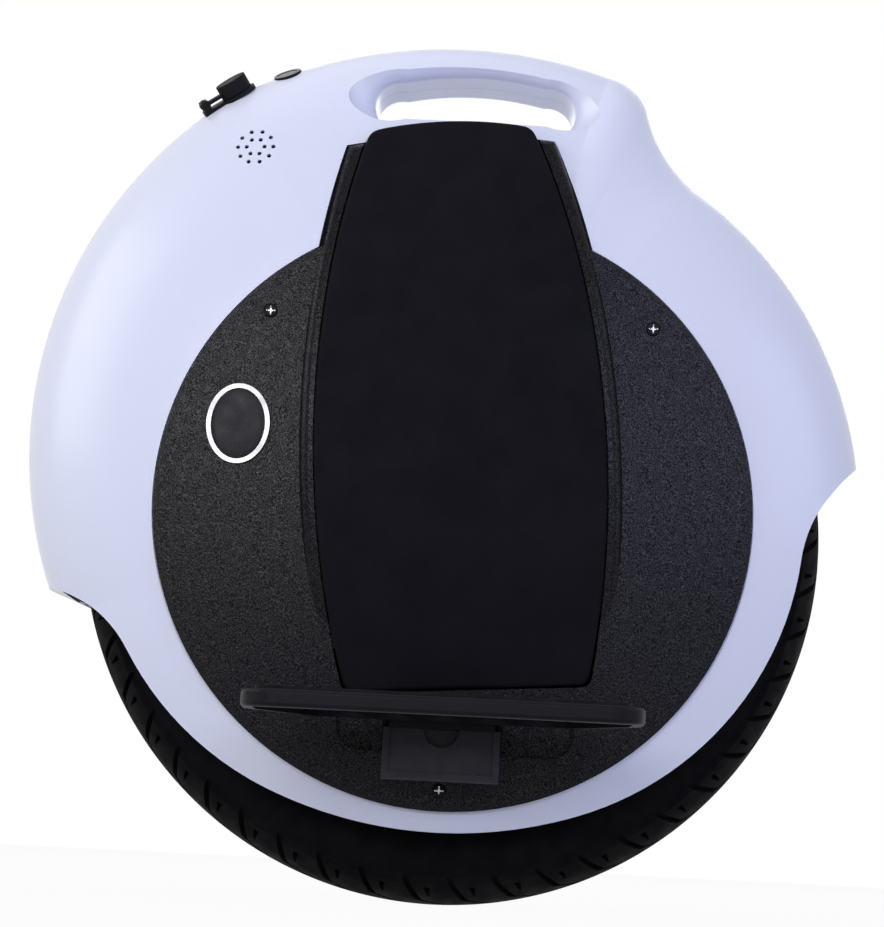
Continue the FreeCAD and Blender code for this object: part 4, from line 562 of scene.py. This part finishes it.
def badge_field(material):
    """Dark domed oval on the blank badge, inside its bright rim."""
    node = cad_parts["badge"]
    low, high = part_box("badge")
    centre = (Vector(low) + Vector(high)) / 2
    front = max(node.data.polygons, key=lambda face: face.area)
    out = front.normal if front.normal.y < 0 else -front.normal
    up = (Vector((0, 0, 1)) - out * out.z).normalized()
    across = up.cross(out)
    face_depth = max((vert.co - centre).dot(out) for vert in node.data.vertices)
    half_width = (high[0] - low[0]) / 2 - BADGE_RIM * MM
    half_height = (high[2] - low[2]) / 2 - BADGE_RIM * MM
    turns = [2 * math.pi * k / BADGE_STEPS for k in range(BADGE_STEPS)]
    rings = []
    for reach, rise in BADGE_RINGS:
        lift = face_depth + rise * BADGE_DOME * MM
        wide, tall = across * half_width * reach, up * half_height * reach
        rings.append([centre + out * lift + wide * math.cos(turn) + tall * math.sin(turn) for turn in turns])
    piece("badge_field", *stacked(rings), material, "chassis", "badge_chrome")


def tip_web(name, side, material):
    """Small web that covers part of the gap in the shell's skin where the tyre well runs out of it."""
    outer = [Vector((across * MM, side * depth * MM, up * MM)) for across, depth, up in WEB_CORNERS]
    out = (outer[1] - outer[0]).cross(outer[2] - outer[0]).normalized()
    if out.y * side < 0:
        out = -out
    inner = [corner - out * WEB_THICK * MM for corner in outer]
    faces = [(0, 1, 2), (3, 4, 5), (0, 1, 4, 3), (1, 2, 5, 4), (2, 0, 3, 5)]
    made = piece(name, outer + inner, faces, material, "chassis", "shell_white")
    made.data.shade_flat()


# Stage

def shown_to_camera(tree):
    """1 for camera, glossy and transmission rays."""
    path = tree.nodes.new("ShaderNodeLightPath")
    value = path.outputs["Is Camera Ray"]
    for name in ("Is Glossy Ray", "Is Transmission Ray"):
        node = tree.nodes.new("ShaderNodeMath")
        node.operation = "MAXIMUM"
        tree.links.new(value, node.inputs[0])
        tree.links.new(path.outputs[name], node.inputs[1])
        value = node.outputs["Value"]
    return value


def white_world():
    """Dim surroundings that light the part, shown as white to the camera and in reflections."""
    world = bpy.data.worlds.new("studio")
    bpy.context.scene.world = world
    world.use_nodes = True
    tree = world.node_tree
    soft = tree.nodes["Background"]
    soft.inputs["Color"].default_value = WORLD_COLOUR
    soft.inputs["Strength"].default_value = WORLD_STRENGTH
    white = tree.nodes.new("ShaderNodeBackground")
    white.inputs["Color"].default_value = (1, 1, 1, 1)
    mix = tree.nodes.new("ShaderNodeMixShader")
    tree.links.new(shown_to_camera(tree), mix.inputs["Fac"])
    tree.links.new(soft.outputs["Background"], mix.inputs[1])
    tree.links.new(white.outputs["Background"], mix.inputs[2])
    tree.links.new(mix.outputs["Shader"], tree.nodes["World Output"].inputs["Surface"])


def pale_floor():
    """Floor that reads nearly white to the camera and keeps a faint shadow."""
    mesh = bpy.data.meshes.new("floor")
    corners = [(x * FLOOR_HALF, y * FLOOR_HALF, 0) for x, y in ((-1, -1), (1, -1), (1, 1), (-1, 1))]
    mesh.from_pydata(corners, [], [(0, 1, 2, 3)])
    floor = bpy.data.objects.new("floor", mesh)
    bpy.context.scene.collection.objects.link(floor)
    material = bpy.data.materials.new("floor")
    material.use_nodes = True
    tree = material.node_tree
    surface = tree.nodes["Principled BSDF"]
    surface.inputs["Base Color"].default_value = FLOOR_COLOUR
    surface.inputs["Roughness"].default_value = 0.9
    surface.inputs["Specular IOR Level"].default_value = 0.1
    glow = tree.nodes.new("ShaderNodeEmission")
    share = tree.nodes.new("ShaderNodeMath")
    share.operation = "MULTIPLY"
    share.inputs[1].default_value = FLOOR_WHITE
    mix = tree.nodes.new("ShaderNodeMixShader")
    tree.links.new(shown_to_camera(tree), share.inputs[0])
    tree.links.new(share.outputs["Value"], mix.inputs["Fac"])
    tree.links.new(surface.outputs["BSDF"], mix.inputs[1])
    tree.links.new(glow.outputs["Emission"], mix.inputs[2])
    tree.links.new(mix.outputs["Shader"], tree.nodes["Material Output"].inputs["Surface"])
    mesh.materials.append(material)


def softbox(name, place, width, power, colour):
    """Square lamp aimed at the axle."""
    lamp = bpy.data.lights.new(name, "AREA")
    lamp.size = width
    lamp.energy = power
    lamp.color = colour
    held = bpy.data.objects.new(name, lamp)
    held.location = place
    aim = Vector((0, 0, AXLE_HEIGHT)) - Vector(place)
    held.rotation_euler = aim.to_track_quat("-Z", "Y").to_euler()
    bpy.context.scene.collection.objects.link(held)


def camera():
    pitch, yaw, roll = (math.radians(angle) for angle in (CAMERA_PITCH, CAMERA_YAW, CAMERA_ROLL))
    ahead = Vector((math.sin(yaw) * math.cos(pitch), math.cos(yaw) * math.cos(pitch), math.sin(pitch)))
    level = Vector((math.cos(yaw), -math.sin(yaw), 0))
    above = level.cross(ahead)
    right = math.cos(roll) * level + math.sin(roll) * above
    up = math.cos(roll) * above - math.sin(roll) * level
    lens = bpy.data.cameras.new("camera")
    lens.sensor_width = SENSOR
    lens.lens = FOCAL_PIXELS * SENSOR / max(IMAGE_WIDTH, IMAGE_HEIGHT)
    held = bpy.data.objects.new("camera", lens)
    held.matrix_world = Matrix.Translation(CAMERA_PLACE) @ Matrix((right, up, -ahead)).transposed().to_4x4()
    bpy.context.scene.collection.objects.link(held)
    bpy.context.scene.camera = held


black_coat = coated("black_coat", (0.006, 0.006, 0.008), 0.32, 0.46, 0.08)
alloy = brushed("alloy", (0.60, 0.60, 0.62), 0.28, 0.45)
steel = brushed("steel", (0.55, 0.55, 0.57), 0.2, 0.36)
foam = pad_foam()
white = shell_white()

dress(white, *both("shell"))
dress(cover_grain(), *both("side_cover"))
dress(foam, *both("leg_pad"))
dress(tyre_rubber(), "tyre")
dress(soft_rubber("tube_rubber", (0.012, 0.012, 0.012), 500), "inner_tube")
dress(soft_rubber("grip_rubber", (0.005, 0.005, 0.006), 900), *both("pedal_grip"))
dress(soft_rubber("cap_rubber", (0.006, 0.006, 0.008), 1200), "charge_cap", "valve_stem")
dress(black_coat, *both("pedal"), "cover_screws")
dress(coated("hanger_coat", (0.018, 0.018, 0.023), 0.42, 0.6, 0.16),
      *both("pedal_hanger"), "heatsink", "motor_rim")
dress(moulded("inner_plastic", (0.005, 0.005, 0.006)),
      *both("wheel_liner"), "mudguard", "charge_port", "valve_cap")
dress(moulded("button_plastic", (0.008, 0.008, 0.010), 0.25, 0.4), "power_button", "button_bezel")
dress(moulded("chip_case", (0.015, 0.015, 0.016)), "mosfets", "capacitors", "speaker")
dress(alloy, *both("motor_cover"))
dress(steel, "axle", "axle_spacers", "axle_washers", "axle_nuts", *both("hinge_pin"))
dress(plated("zinc", (0.62, 0.62, 0.64)), "hanger_bolts", "motor_cover_bolts", "bearing_inner_rings",
      "bearing_outer_rings", "magnets")
dress(plated("badge_chrome", (0.30, 0.30, 0.32), 0.3, 0.42), "badge")
dress(plated("pin_brass", (0.75, 0.58, 0.28)), "charge_pins")
dress(laminated(), "stator_core")
dress(wound_copper(), "stator_windings")
dress(circuit(), "control_board", "bms_board")
dress(wrapped(), *both("battery_pack"))

leg_pad("skin_right", -1, foam)
leg_pad("skin_left", 1, foam)
screws(black_coat, steel)
badge_field(enamel())
tip_web("tip_web_right", -1, white)
tip_web("tip_web_left", 1, white)

white_world()
pale_floor()
for name, settings in LAMPS.items():
    softbox(name, *settings)
camera()
bpy.context.scene.view_settings.view_transform = "Standard"
